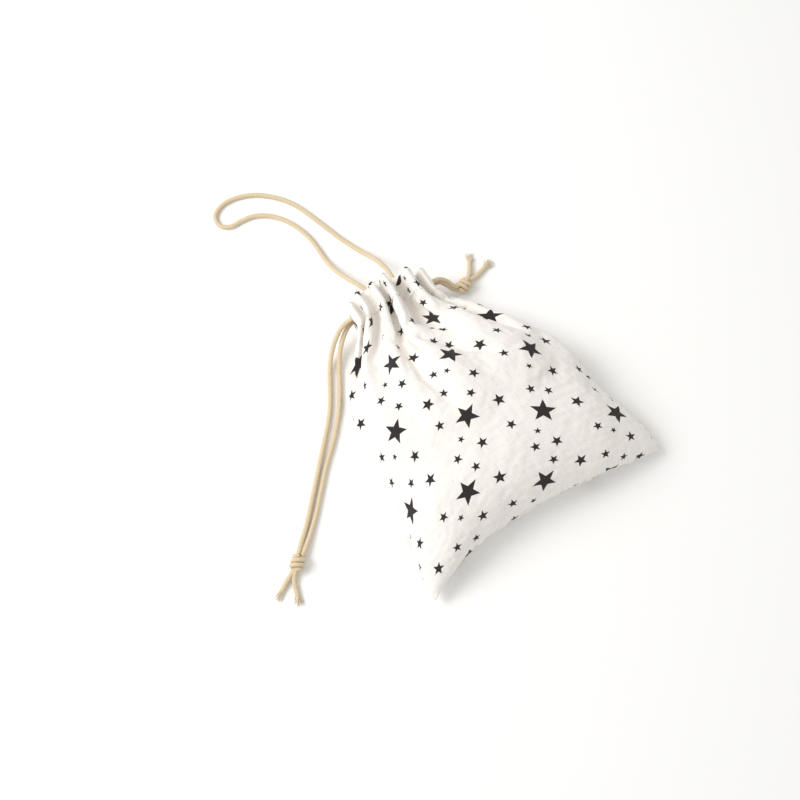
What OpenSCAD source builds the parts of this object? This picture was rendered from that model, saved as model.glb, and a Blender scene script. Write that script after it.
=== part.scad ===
// Drawstring gift sack of woven cotton, filled and drawn closed, lying on its back.
// The bottom seam faces -Y and the gathered mouth +Y. Each of the two cords runs
// through the folded casing round the mouth and leaves it at one side.

/* [Sack] */
// Length from the bottom seam to the drawn mouth
sack_length = 196; // [190:1:200]
// Width across the two bottom corners
base_width = 182; // [176:1:188]
// Height of the filled body
filled_height = 52; // [46:1:56]
// Thickness of the cloth wall
cloth = 1.0; // [0.8:0.1:1.2]
// How far the bottom seam pulls in between its corners
bottom_bow = 13; // [8:1:16]

/* [Mouth] */
// Width of the gathered neck
neck_width = 58; // [56:1:60]
// Height of the gathered neck without its pleats
neck_height = 22; // [22:1:24]
// Depth of the pleats pressed round the neck
pleat_depth = 2.2; // [0:0.1:2.5]
// Number of pleats across each panel
pleats = 6; // [4:1:8]
// Depth of the folded casing that the cords run through
casing_depth = 15; // [14:1:16]

/* [Cords] */
// Diameter of each cord
cord_d = 3.2; // [3:0.1:3.3]
// Widest radius of each knot
knot_r = 5; // [4.5:0.1:5]

/* [Sewing] */
// Width of the seam allowance turned inside
allowance = 8; // [6:1:9]
// Diameter of the sewing thread
thread_d = 0.5; // [0.4:0.1:0.6]
// Stitches in each row round the casing
casing_stitches = 14; // [10:1:20]

/* [Hidden] */

cloth_colour = "#F3EEE7";
cord_colour = "#E6D2AE";
thread_colour = "#E9E2D6";

// The shapes below are laid out from the bottom seam, then moved so that the
// middle of the sack's footprint is the origin.
origin_shift = [0, -sack_length / 2, 0];

// Grid of each panel: columns across it and rows along it
cols = 36;
rows = 20;
row_crowding = 1.2;        // rows lie closer together towards the bottom seam

neck_z = 17;               // height of the middle of the neck
neck_x = -5;               // the neck leans this far to the left
seam_lift = 11;            // the middle of the bottom seam is this much higher than its corners
front_rise = 48;           // length over which the front rises from the bottom seam
back_rise = 24;            // the same for the back
casing_end_gap = 4.2;      // half of the opening at each end of the casing
flat_share = 1.3;          // makes the middle of the back lie flat
lift_share = 0.3;          // share of the length over which the bottom seam's lift fades
bow_skew = 0.3;            // pulls the bow of the bottom seam towards its left corner

// Shares of the length, from bottom seam to mouth, and the value at each
width_profile = [
    [0, 1], [0.09, 0.975], [0.17, 0.91], [0.27, 0.82], [0.40, 0.76], [0.51, 0.725],
    [0.61, 0.65], [0.70, 0.515], [0.76, 0.40], [0.81, 0.265], [0.87, 0.11], [0.93, 0], [1, 0],
];
lean_profile = [[0, 0], [0.5, 0], [0.7, 1], [1, 1]];
crown_profile = [
    [0, 0.76], [0.2, 0.92], [0.4, 1], [0.55, 0.98], [0.68, 0.88], [0.78, 0.72], [0.86, 0.59],
];
side_height_profile = [[0, 3], [0.1, 5], [0.25, 11], [0.45, 16], [0.6, neck_z], [1, neck_z]];
neck_share_profile = [[0, 0], [0.74, 0], [0.9, 1], [1, 1]];
section_power_profile = [[0, 2.1], [0.7, 2.3], [0.9, 6], [1, 6]];
gap_profile = [[0, 0], [0.83, 0], [0.89, 1], [1, 1]];

function blend(a, b, share) = a + (b - a) * share;
function across(i) = -cos(180 * i / cols);
function share_at(j) = pow(j / rows, row_crowding);
function half_width(s) = blend(neck_width / 2, base_width / 2, lookup(s, width_profile));
function middle_x(s) = neck_x * lookup(s, lean_profile);
function neck_share(s) = lookup(s, neck_share_profile);
function crown(s) =
    blend(filled_height * lookup(s, crown_profile), neck_z + neck_height / 2, neck_share(s));
function floor_z(s) = (neck_z - neck_height / 2) * neck_share(s);
function seam_z(x, s) =
    lookup(s, side_height_profile) + seam_lift * (1 - x * x) * max(0, 1 - s / lift_share);
function rise(depth, reach) = sqrt(1 - pow(1 - min(1, depth / reach), 2));
function section(x, power) = pow(max(0, 1 - pow(abs(x), power)), 1 / power);
function seam_y(x) = bottom_bow * (1 - x * x) * (1 - bow_skew * x);
function pleat(i, s) =
    pleat_depth * neck_share(s) * (1 - cos(360 * pleats * i / cols)) / 2 * section(across(i), 2);

// A point of the front panel, inset by the cloth on its inner face
function front_point(i, s, inset) =
    let (
        x = across(i),
        first = seam_y(x) + inset,
        depth = (sack_length - first) * s,
        seam = seam_z(x, s) + casing_end_gap * lookup(s, gap_profile),
        top = crown(s) - inset,
        fold = inset > 0 ? 0 : pleat(i, s)
    )
    [
        middle_x(s) + (half_width(s) - inset) * x,
        first + depth,
        seam + (top - seam) * rise(depth, front_rise)
            * section(x, lookup(s, section_power_profile)) + fold,
    ];

// A point of the back panel, which lies flat on the surface under the sack
function back_point(i, s, inset) =
    let (
        x = across(i),
        first = seam_y(x) + inset,
        depth = (sack_length - first) * s,
        seam = seam_z(x, s) - casing_end_gap * lookup(s, gap_profile),
        base = floor_z(s) + inset,
        fold = inset > 0 ? 0 : pleat(i, s)
    )
    [
        middle_x(s) + (half_width(s) - inset) * x,
        first + depth,
        seam - (seam - base) * rise(depth, back_rise)
            * min(1, flat_share * section(x, lookup(s, section_power_profile))) - fold,
    ];

// Skins a list of closed rings, each clockwise when seen along the sweep
module loft(rings) {
    count = len(rings);
    size = len(rings[0]);
    half = size / 2;
    sides = [
        for (j = [0:count - 2], k = [0:size - 1])
            let (a = j * size + k, b = j * size + (k + 1) % size)
            each [[a, a + size, b + size], [a, b + size, b]]
    ];
    last = (count - 1) * size;
    caps = [
        for (k = [0:half - 2])
            let (a = k, b = k + 1, c = size - 2 - k, d = size - 1 - k)
            each [
                [a, b, c], [a, c, d],
                [last + a, last + c, last + b], [last + a, last + d, last + c],
            ]
    ];
    polyhedron(points = [for (ring = rings) each ring], faces = concat(sides, caps));
}

// A round cord through its route. The reference is square to every part of the route.
module cord(route, reference = [0, 0, 1], sides = 8) {
    last = len(route) - 1;
    function along(k) =
        let (step = route[min(k + 1, last)] - route[max(k - 1, 0)]) step / norm(step);
    function right(k) = let (v = cross(along(k), reference)) v / norm(v);
    loft([
        for (k = [0:last])
            let (side = right(k), up = cross(side, along(k)))
            [
                for (q = [0:sides - 1])
                    let (angle = -360 * q / sides)
                    route[k] + cord_d / 2 * (cos(angle) * side + sin(angle) * up)
            ]
    ]);
}

// A straight rod between two points, used for each stitch
module rod(from, to, radius) {
    span = to - from;
    translate(from)
        rotate([0, acos(span.z / norm(span)), atan2(span.y, span.x)])
            cylinder(h = norm(span), r = radius, $fn = 16);
}

// ---- Cloth ----

module front_panel() {
    color(cloth_colour) translate(origin_shift)
        loft([
            for (j = [0:rows])
                concat(
                    [for (i = [0:cols]) front_point(i, share_at(j), 0)],
                    [for (i = [cols:-1:0]) front_point(i, share_at(j), cloth)]
                )
        ]);
}

module back_panel() {
    color(cloth_colour) translate(origin_shift)
        loft([
            for (j = [0:rows])
                concat(
                    [for (i = [0:cols]) back_point(i, share_at(j), cloth)],
                    [for (i = [cols:-1:0]) back_point(i, share_at(j), 0)]
                )
        ]);
}

// The turned-in hem that makes the tunnel for the cords
tunnel = 3.8;              // free height of the tunnel
hem_drop = 4;              // the casing lies this far below the fold at the mouth
hem_left = -14.5;
hem_right = 6;
hem_top = sack_length - hem_drop;
hem_bottom = hem_top - casing_depth;
hem_grip = 0.4;            // how far the sewn edges reach into the panel

module casing(side) {
    wall = neck_height / 2 - cloth;
    web = wall - tunnel;
    profile = [
        [hem_bottom, web - cloth], [hem_top, web - cloth], [hem_top, wall + hem_grip],
        [hem_top - cloth, wall + hem_grip], [hem_top - cloth, web], [hem_bottom + cloth, web],
        [hem_bottom + cloth, wall + hem_grip], [hem_bottom, wall + hem_grip],
    ];
    color(cloth_colour) translate(origin_shift) translate([hem_left, 0, neck_z])
        rotate([90, 0, 90]) linear_extrude(hem_right - hem_left)
            polygon([for (p = profile) [p.x, side * p.y]]);
}

module front_casing() { casing(1); }
module back_casing() { casing(-1); }

// ---- Seams ----

seam_steps = 12;
seam_start = 0.09;         // the side allowances run between these shares of the length
seam_end = 0.84;
seam_grip = 0.5;           // how far an allowance reaches into the sewn edge

function side_edge(side, s, inset) =
    [
        middle_x(s) + side * (half_width(s) - inset),
        sack_length * s,
        lookup(s, side_height_profile),
    ];

module side_seam(side) {
    half = cloth / 2;
    color(cloth_colour) translate(origin_shift)
        loft([
            for (k = [0:seam_steps])
                let (
                    s = blend(seam_start, seam_end, k / seam_steps),
                    outer = side_edge(side, s, seam_grip),
                    inner = side_edge(side, s, seam_grip + allowance),
                    left = side < 0 ? outer : inner,
                    right = side < 0 ? inner : outer
                )
                [
                    left + [0, 0, half], right + [0, 0, half],
                    right - [0, 0, half], left - [0, 0, half],
                ]
        ]);
}

module left_side_seam() { side_seam(-1); }
module right_side_seam() { side_seam(1); }

bottom_reach = 0.84;       // the bottom allowance spans this share of the width
bottom_width_share = 0.05; // where along the sack its width is taken
bottom_height_share = 0.03; // where along the sack its height is taken

function bottom_edge(x, inset) =
    [half_width(bottom_width_share) * x, seam_y(x) + inset, seam_z(x, bottom_height_share)];

module bottom_seam() {
    half = cloth / 2;
    color(cloth_colour) translate(origin_shift)
        loft([
            for (k = [0:seam_steps])
                let (
                    x = blend(-bottom_reach, bottom_reach, k / seam_steps),
                    outer = bottom_edge(x, seam_grip),
                    inner = bottom_edge(x, seam_grip + allowance)
                )
                [
                    inner + [0, 0, half], outer + [0, 0, half],
                    outer - [0, 0, half], inner - [0, 0, half],
                ]
        ]);
}

// Overlock thread across the raw edge of an allowance
overlock_stitches = 18;
overlock_bite = 3;
side_slant = 0.01;         // each stitch leans this share of the sack's length
bottom_slant = 0.02;       // the same as a share of half the width

module side_overlock(side) {
    lift = [0, 0, cloth / 2];
    color(thread_colour) translate(origin_shift)
        for (k = [1:overlock_stitches - 1]) {
            s = blend(seam_start, seam_end, k / overlock_stitches);
            rod(side_edge(side, s, seam_grip + allowance - overlock_bite) + lift,
                side_edge(side, s + side_slant, seam_grip + allowance - thread_d) + lift,
                thread_d / 2);
        }
}

module left_overlock() { side_overlock(-1); }
module right_overlock() { side_overlock(1); }

module bottom_overlock() {
    lift = [0, 0, cloth / 2];
    color(thread_colour) translate(origin_shift)
        for (k = [1:overlock_stitches - 1]) {
            x = blend(-bottom_reach, bottom_reach, k / overlock_stitches);
            rod(bottom_edge(x, seam_grip + allowance - overlock_bite) + lift,
                bottom_edge(x + bottom_slant, seam_grip + allowance - thread_d) + lift,
                thread_d / 2);
        }
}

// ---- Stitching ----

stitch_row = 0.905;        // share of the length at the foot of the casing
stitch_cover = 0.6;        // share of the pitch that each stitch covers
stitch_margin = 4;         // columns left free at each side

function stitch_column(k) =
    blend(stitch_margin, cols - stitch_margin, k / casing_stitches);

module front_casing_stitching() {
    color(thread_colour) translate(origin_shift)
        for (k = [0:casing_stitches - 1])
            rod(front_point(stitch_column(k), stitch_row, 0),
                front_point(stitch_column(k + stitch_cover), stitch_row, 0),
                thread_d / 2);
}

module back_casing_stitching() {
    color(thread_colour) translate(origin_shift)
        for (k = [0:casing_stitches - 1])
            rod(back_point(stitch_column(k), stitch_row, 0),
                back_point(stitch_column(k + stitch_cover), stitch_row, 0),
                thread_d / 2);
}

// Dense stitches that stop the side seam from opening below the casing
tack_length = 6;
tack_share = 0.845;

module bar_tack(side) {
    place = side_edge(side, tack_share, 0);
    reach = [0, 0, tack_length / 2];
    color(thread_colour) translate(origin_shift)
        rod(place - reach, place + reach, 2 * thread_d);
}

module left_bar_tack() { bar_tack(-1); }
module right_bar_tack() { bar_tack(1); }

// ---- Cords ----

run_height = neck_height / 2 - cloth - tunnel / 2; // from the neck's middle to a cord in its tunnel
strand_gap = 2;            // half the distance between the strands at a casing end
left_run_y = 187;
right_run_y = 180;
left_exit_x = -33;
right_exit_x = 24;
left_merge_x = -24;        // the left strands start to part here
left_flat_x = -15;         // and lie flat in the casing from here
left_last_x = -1;          // last point before the far bend
right_first_x = -24;       // start of the right cord in the casing
right_flat_x = 8;          // it lies flat in the casing up to here
right_merge_x = 16.5;      // and its strands have met here
bend_clearance = 0.4;      // between the far bend and the side of the neck
far_bend_x =
    neck_x + neck_width / 2 - cloth - bend_clearance - cord_d / 2 - run_height;

// Half of the left cord's run, from the casing end to the start of the far bend
function left_run(side) = [
    [left_exit_x, left_run_y, neck_z + side * strand_gap],
    [left_merge_x, left_run_y, neck_z + side * strand_gap],
    [left_flat_x, left_run_y, neck_z + side * run_height],
    [left_last_x, left_run_y, neck_z + side * run_height],
];

module left_cord_casing_run() {
    bend = [
        for (angle = [90:-30:-90])
            [
                far_bend_x + run_height * cos(angle),
                left_run_y,
                neck_z + run_height * sin(angle),
            ]
    ];
    back = left_run(-1);
    color(cord_colour) translate(origin_shift)
        cord(concat(left_run(1), bend, [back[3], back[2], back[1], back[0]]), [0, 1, 0]);
}

function right_run(side) = [
    [right_first_x, right_run_y, neck_z + side * run_height],
    [right_flat_x, right_run_y, neck_z + side * run_height],
    [right_merge_x, right_run_y, neck_z + side * strand_gap],
    [right_exit_x, right_run_y, neck_z + side * strand_gap],
];

module right_cord_front_run() {
    color(cord_colour) translate(origin_shift) cord(right_run(1));
}

module right_cord_back_run() {
    color(cord_colour) translate(origin_shift) cord(right_run(-1));
}

// Routes of the free cords, from the place where each leaves the sack
left_front_route = [
    [-33, 187, 19], [-42, 186.5, 17], [-50, 183, 12], [-57, 177.5, 6.6], [-63, 170.5, 3],
    [-68, 162.5, 1.8], [-73, 154, 1.7], [-78.5, 145.5, 1.7], [-85, 137.5, 1.7],
    [-92, 130, 1.7], [-99, 122.5, 1.7], [-106, 115, 1.7], [-113, 107.5, 1.7],
    [-120, 100, 1.7], [-127, 92.5, 1.7], [-134, 85.5, 2], [-141, 79, 3], [-147, 73, 4.2],
];
left_back_route = [
    [-33, 187, 15], [-41, 184, 13], [-48, 179, 9], [-54, 172.5, 4.8], [-59, 165, 2.4],
    [-63.5, 157, 1.7], [-68.5, 149, 1.7], [-74, 141, 1.7], [-80.5, 133.5, 1.7],
    [-87.5, 126, 1.7], [-95, 119, 1.7], [-102.5, 112, 1.7], [-109.5, 104.5, 1.7],
    [-116.5, 97, 1.7], [-123.5, 89.5, 1.7], [-131, 82.5, 2], [-138.5, 76, 3], [-145.5, 70.5, 4.2],
];
left_knot = [-150, 68.5, 5.1];
left_knot_turn = 221;
left_tail_routes = [
    [[-152, 67, 4.6], [-158, 60, 2.4], [-161, 51, 1.7]],
    [[-152, 67, 4.6], [-160, 63.5, 2.4], [-168, 59, 1.7]],
];
right_front_route = [
    [24, 180, 19], [30.5, 180, 17.4], [35.5, 177.5, 13.2], [38.5, 173.5, 9.2], [42, 171, 6.6],
];
right_back_route = [
    [24, 180, 15], [30.5, 179, 14.6], [34.5, 176, 10.8], [37.5, 172.5, 6.8], [41.5, 170, 4.6],
];
right_knot = [46, 170.5, 5.1];
right_knot_turn = 12;
right_tail_routes = [
    [[49, 171.5, 4.6], [55, 177, 2.4], [60, 184, 1.7]],
    [[49, 171.5, 4.6], [58, 172.5, 2.4], [67, 175, 1.7]],
];
loop_route = [
    [5, 178, 17], [5, 187, 17], [5, 196, 17], [5, 205, 16.6], [4, 214, 13.6], [2, 222.5, 9],
    [-1, 231, 4.8], [-4, 240, 2], [-7.5, 249, 1.7], [-10.5, 258, 1.7], [-13.5, 267, 1.7],
    [-16.5, 276, 1.7], [-20, 285, 1.7], [-25, 293.5, 1.7], [-31.5, 301, 1.7],
    [-39, 307.5, 1.7], [-47.5, 312, 1.7], [-57, 314.5, 1.7], [-66, 314, 1.7],
    [-73, 309.5, 1.7], [-74, 302, 1.7], [-68, 297, 1.7], [-59, 296.5, 1.7], [-50, 295, 1.7],
    [-42, 290.5, 1.7], [-35.5, 284, 1.7], [-30.5, 276, 1.7], [-27, 267, 1.7],
    [-25, 258, 1.7], [-24.5, 248.5, 1.7], [-24.5, 239.5, 2.4], [-24, 231, 5.2],
    [-22.5, 222.5, 9.2], [-20, 214, 13.4], [-17, 205.5, 16.4], [-14, 196.5, 17],
    [-13, 187, 17], [-13, 178, 17],
];

module left_cord_front_strand() {
    color(cord_colour) translate(origin_shift) cord(left_front_route);
}

module left_cord_back_strand() {
    color(cord_colour) translate(origin_shift) cord(left_back_route);
}

module right_cord_front_strand() {
    color(cord_colour) translate(origin_shift) cord(right_front_route);
}

module right_cord_back_strand() {
    color(cord_colour) translate(origin_shift) cord(right_back_route);
}

module drawstring_loop() {
    color(cord_colour) translate(origin_shift) cord(loop_route);
}

// Overhand knot that joins both ends of a cord, as three wraps side by side
wrap_r = 2;                // radius of the squeezed cord in a wrap
wrap_gap = 2.6;            // distance between the wraps
outer_wrap_drop = 0.5;     // the outer wraps are this much smaller
knot_half = 3.8;           // half the length of the knot's core

module knot(place, turn) {
    wrap_ring = knot_r - wrap_r;
    outer_ring = wrap_ring - outer_wrap_drop;
    color(cord_colour) translate(origin_shift) translate(place) rotate([0, 90, turn])
        rotate_extrude($fn = 48)
            difference() {
                union() {
                    translate([outer_ring, -wrap_gap]) circle(wrap_r, $fn = 24);
                    translate([wrap_ring, 0]) circle(wrap_r, $fn = 24);
                    translate([outer_ring, wrap_gap]) circle(wrap_r, $fn = 24);
                    translate([0, -knot_half]) square([wrap_ring, 2 * knot_half]);
                }
                translate([-2 * knot_r, -2 * knot_r]) square([2 * knot_r, 4 * knot_r]);
            }
}

module left_cord_knot() { knot(left_knot, left_knot_turn); }
module right_cord_knot() { knot(right_knot, right_knot_turn); }

module left_cord_tails() {
    color(cord_colour) translate(origin_shift)
        for (route = left_tail_routes) cord(route);
}

module right_cord_tails() {
    color(cord_colour) translate(origin_shift)
        for (route = right_tail_routes) cord(route);
}

front_panel();
back_panel();
front_casing();
back_casing();
left_side_seam();
right_side_seam();
bottom_seam();
left_overlock();
right_overlock();
bottom_overlock();
front_casing_stitching();
back_casing_stitching();
left_bar_tack();
right_bar_tack();
left_cord_casing_run();
left_cord_front_strand();
left_cord_back_strand();
left_cord_knot();
left_cord_tails();
right_cord_front_run();
right_cord_back_run();
right_cord_front_strand();
right_cord_back_strand();
right_cord_knot();
right_cord_tails();
drawstring_loop();
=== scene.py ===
"""Drawstring gift sack of printed cotton: the cloth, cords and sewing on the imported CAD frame."""
import logging
import math
import random
from dataclasses import dataclass, field
from enum import Enum

import bpy
import numpy as np
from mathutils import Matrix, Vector


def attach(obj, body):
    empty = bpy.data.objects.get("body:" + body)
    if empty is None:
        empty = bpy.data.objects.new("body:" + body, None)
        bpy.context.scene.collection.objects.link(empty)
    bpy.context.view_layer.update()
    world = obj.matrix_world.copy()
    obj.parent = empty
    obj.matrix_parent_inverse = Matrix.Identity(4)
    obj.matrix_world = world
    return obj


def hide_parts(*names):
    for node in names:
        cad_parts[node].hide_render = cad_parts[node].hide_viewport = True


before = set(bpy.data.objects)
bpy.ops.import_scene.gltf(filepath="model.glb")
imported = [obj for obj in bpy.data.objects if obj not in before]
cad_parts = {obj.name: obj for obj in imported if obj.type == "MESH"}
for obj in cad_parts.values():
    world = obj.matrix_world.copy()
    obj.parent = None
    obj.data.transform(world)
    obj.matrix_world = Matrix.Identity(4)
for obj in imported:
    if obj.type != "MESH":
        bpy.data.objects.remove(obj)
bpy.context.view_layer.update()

log = logging.getLogger("gift_sack")

MM = 0.001
# The routes and profiles below are in millimetres from the bottom seam. This moves
# them to the frame, whose origin is the middle of the sack's footprint.
SEAM_TO_FRAME = np.array([0.0, -98.0, 0.0])
# Height of the drawn neck's middle, in mm.
NECK_HEIGHT = 17.0
CLOTH_MAP = "cloth"
FULL_TURN = 2 * math.pi

Route = list[tuple[float, float, float]]
Profile = tuple[tuple[float, float], ...]


class Side(Enum):
    """The two panels of the sack, with the sign of their height over the seam."""

    FRONT = 1
    BACK = -1


class Slot(Enum):
    """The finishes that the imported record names."""

    CLOTH = "printed_cotton"
    THREAD = "sewing_thread"
    CORD = "cotton_cord"


class Body(Enum):
    """The bodies that the pieces ride on."""

    SACK = "sack"
    LEFT = "left_drawstring"
    RIGHT = "right_drawstring"
    LOOP = "loop_of_right_drawstring"


# ---------------------------------------------------------------- small tools


def linear(code: str) -> tuple[float, float, float, float]:
    """Turns an sRGB hex colour into the linear one that shaders take.

    Args:
        code: Six hex digits.

    Returns:
        Red, green, blue and an alpha of 1.
    """
    parts = [int(code[k : k + 2], 16) / 255 for k in (0, 2, 4)]
    flat = [c / 12.92 if c <= 0.04045 else ((c + 0.055) / 1.055) ** 2.4 for c in parts]
    return (*flat, 1.0)


def add_node(
    tree: bpy.types.NodeTree, kind: str, settings: dict, inputs: dict
) -> bpy.types.Node:
    """Adds one shader node with its settings, its values and its links.

    Args:
        tree: The material's node tree.
        kind: The node's type.
        settings: Attributes of the node.
        inputs: A value, or the socket to link, for each input.

    Returns:
        The new node.
    """
    node = tree.nodes.new(kind)
    for name, value in settings.items():
        setattr(node, name, value)
    for key, value in inputs.items():
        if isinstance(value, bpy.types.NodeSocket):
            tree.links.new(value, node.inputs[key])
        else:
            node.inputs[key].default_value = value
    return node


def in_frame(points: np.ndarray | Route) -> np.ndarray:
    """Moves points in mm from the bottom seam to metres in the frame."""
    return (np.asarray(points, float) + SEAM_TO_FRAME) * MM


def smooth(share: np.ndarray | float) -> np.ndarray:
    """Eases a share from 0 to 1."""
    held = np.clip(share, 0, 1)
    return held * held * (3 - 2 * held)


def look_up(share: float, profile: Profile) -> float:
    """Reads a profile of (share, value) pairs at one share."""
    return float(np.interp(share, [p[0] for p in profile], [p[1] for p in profile]))


def unit(vectors: np.ndarray) -> np.ndarray:
    """Scales each vector to a length of 1."""
    size = np.linalg.norm(vectors, axis=-1, keepdims=True)
    return vectors / np.maximum(size, 1e-9)


def along(points: np.ndarray) -> np.ndarray:
    """Gives the distance from the first point to each point, along the line."""
    steps = np.linalg.norm(np.diff(points, axis=0), axis=1)
    return np.concatenate([[0], np.cumsum(steps)])


def evenly(points: np.ndarray, step: float) -> np.ndarray:
    """Spaces points evenly along a line.

    Args:
        points: The line's points.
        step: The wanted distance between the new points.

    Returns:
        The new points, with both ends kept.
    """
    place = along(points)
    count = max(2, round(place[-1] / step))
    target = np.linspace(0, place[-1], count + 1)
    return np.stack([np.interp(target, place, points[:, k]) for k in range(3)], axis=1)


def curve_through(points: np.ndarray, step: float) -> np.ndarray:
    """Draws a smooth curve through points and spaces it evenly.

    Args:
        points: The points that the curve passes through.
        step: The distance between the curve's own points.

    Returns:
        The points of the curve.
    """
    padded = np.concatenate([[2 * points[0] - points[1]], points, [2 * points[-1] - points[-2]]])
    share = np.linspace(0, 1, 16, endpoint=False)[:, None]
    stretches = []
    for a, b, c, d in zip(padded, padded[1:], padded[2:], padded[3:]):
        slope_in = (c - a) / 2
        slope_out = (d - b) / 2
        cubic = 2 * b - 2 * c + slope_in + slope_out
        square = 3 * c - 3 * b - 2 * slope_in - slope_out
        stretches.append(((cubic * share + square) * share + slope_in) * share + b)
    return evenly(np.concatenate([*stretches, points[-1:]]), step)


def cross_frames(path: np.ndarray) -> tuple[np.ndarray, np.ndarray]:
    """Carries two directions square to a path along it without twist.

    Args:
        path: The path's points.

    Returns:
        The first and the second direction at each point.
    """
    ahead = unit(np.gradient(path, axis=0))
    start = np.array([0.0, 0.0, 1.0]) if abs(ahead[0][2]) < 0.9 else np.array([1.0, 0.0, 0.0])
    first = np.empty_like(path)
    held = start
    for k, direction in enumerate(ahead):
        held = held - direction * np.dot(held, direction)
        held = held / np.linalg.norm(held)
        first[k] = held
    return first, np.cross(ahead, first)


def mesh_object(
    name: str, points: np.ndarray, faces: list, corner_map: np.ndarray | None = None
) -> bpy.types.Object:
    """Makes a smooth-shaded mesh object in the scene.

    Args:
        name: The piece's name.
        points: Corner positions in metres in the frame.
        faces: Corner numbers of each face.
        corner_map: Cloth or cord position in metres for each face corner, if it has one.

    Returns:
        The new object.
    """
    mesh = bpy.data.meshes.new(name)
    mesh.from_pydata(points.tolist(), [], faces)
    mesh.polygons.foreach_set("use_smooth", [True] * len(mesh.polygons))
    if corner_map is not None:
        layer = mesh.uv_layers.new(name=CLOTH_MAP)
        layer.data.foreach_set("uv", corner_map.ravel())
    mesh.update()
    made = bpy.data.objects.new(name, mesh)
    bpy.context.scene.collection.objects.link(made)
    return made


def grid_faces(rows: int, columns: int, flip: bool) -> np.ndarray:
    """Numbers the corners of a grid's faces.

    Args:
        rows: Points along the grid.
        columns: Points across it.
        flip: True to turn the faces over.

    Returns:
        Four corner numbers for each face.
    """
    row, column = np.meshgrid(np.arange(rows - 1), np.arange(columns - 1), indexing="ij")
    first = (row * columns + column).ravel()
    corners = np.stack([first, first + 1, first + columns + 1, first + columns], axis=1)
    return corners[:, ::-1] if flip else corners


@dataclass
class Tubes:
    """Collects round tubes into one mesh piece.

    Attributes:
        sides: Flats round each tube.
        points: Corner positions so far, in metres.
        faces: Faces so far.
        corner_map: Position round and along the tube for each face corner.
        count: Number of points so far.
    """

    sides: int = 8
    points: list[np.ndarray] = field(default_factory=list)
    faces: list[list[int]] = field(default_factory=list)
    corner_map: list[tuple[float, float]] = field(default_factory=list)
    count: int = 0

    def add(self, path: np.ndarray, radius: np.ndarray | float) -> None:
        """Adds a tube with closed ends.

        Args:
            path: Its centre line, in metres.
            radius: One radius, or one for each point, or one for each point and side.
        """
        rings = len(path)
        first, second = cross_frames(path)
        angle = np.arange(self.sides) * FULL_TURN / self.sides
        spoke = np.cos(angle)[None, :, None] * first[:, None] + np.sin(angle)[None, :, None] * second[:, None]
        reach = np.asarray(radius, float)
        reach = reach.reshape(reach.shape + (1,) * (2 - reach.ndim))
        reach = np.broadcast_to(reach, (rings, self.sides))
        self.points.append((path[:, None] + spoke * reach[..., None]).reshape(-1, 3))
        place = along(path)
        girth = FULL_TURN * float(reach.mean()) / self.sides
        for ring in range(rings - 1):
            for side in range(self.sides):
                beside = (side + 1) % self.sides
                low = self.count + ring * self.sides
                high = low + self.sides
                self.faces.append([low + side, low + beside, high + beside, high + side])
                near, far = side * girth, (side + 1) * girth
                self.corner_map += [
                    (near, place[ring]),
                    (far, place[ring]),
                    (far, place[ring + 1]),
                    (near, place[ring + 1]),
                ]
        last = self.count + (rings - 1) * self.sides
        self.faces.append([self.count + side for side in reversed(range(self.sides))])
        self.faces.append([last + side for side in range(self.sides)])
        self.corner_map += [(0.0, 0.0)] * self.sides
        self.corner_map += [(0.0, float(place[-1]))] * self.sides
        self.count += rings * self.sides

    def piece(self, name: str) -> bpy.types.Object:
        """Turns the collected tubes into one object."""
        return mesh_object(name, np.concatenate(self.points), self.faces, np.array(self.corner_map))


def settle_piece(
    piece: bpy.types.Object, body: Body, nodes: tuple[str, ...]
) -> bpy.types.Object:
    """Puts a finished piece on its body in place of its CAD nodes.

    Args:
        piece: The piece, already in its place.
        body: The body that it rides on.
        nodes: The CAD nodes that it stands for.

    Returns:
        The same piece.
    """
    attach(piece, body.value)
    if nodes:
        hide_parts(*nodes)
    log.info("%s: %d faces on %s", piece.name, len(piece.data.polygons), body.value)
    return piece


# ------------------------------------------------------------------ finishes


@dataclass(frozen=True)
class StarLayer:
    """One layer of the star print, with at most one star in each cell.

    Attributes:
        cell: Width of a cell, in mm.
        shift: How far the layer's cells are moved, in mm.
        radii: Radius of the star in each class of cell, in mm. A radius of 0 leaves it empty.
        wander: Share of the cell that a small star may wander.
    """

    cell: float
    shift: float
    radii: tuple[float, ...]
    wander: float


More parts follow.
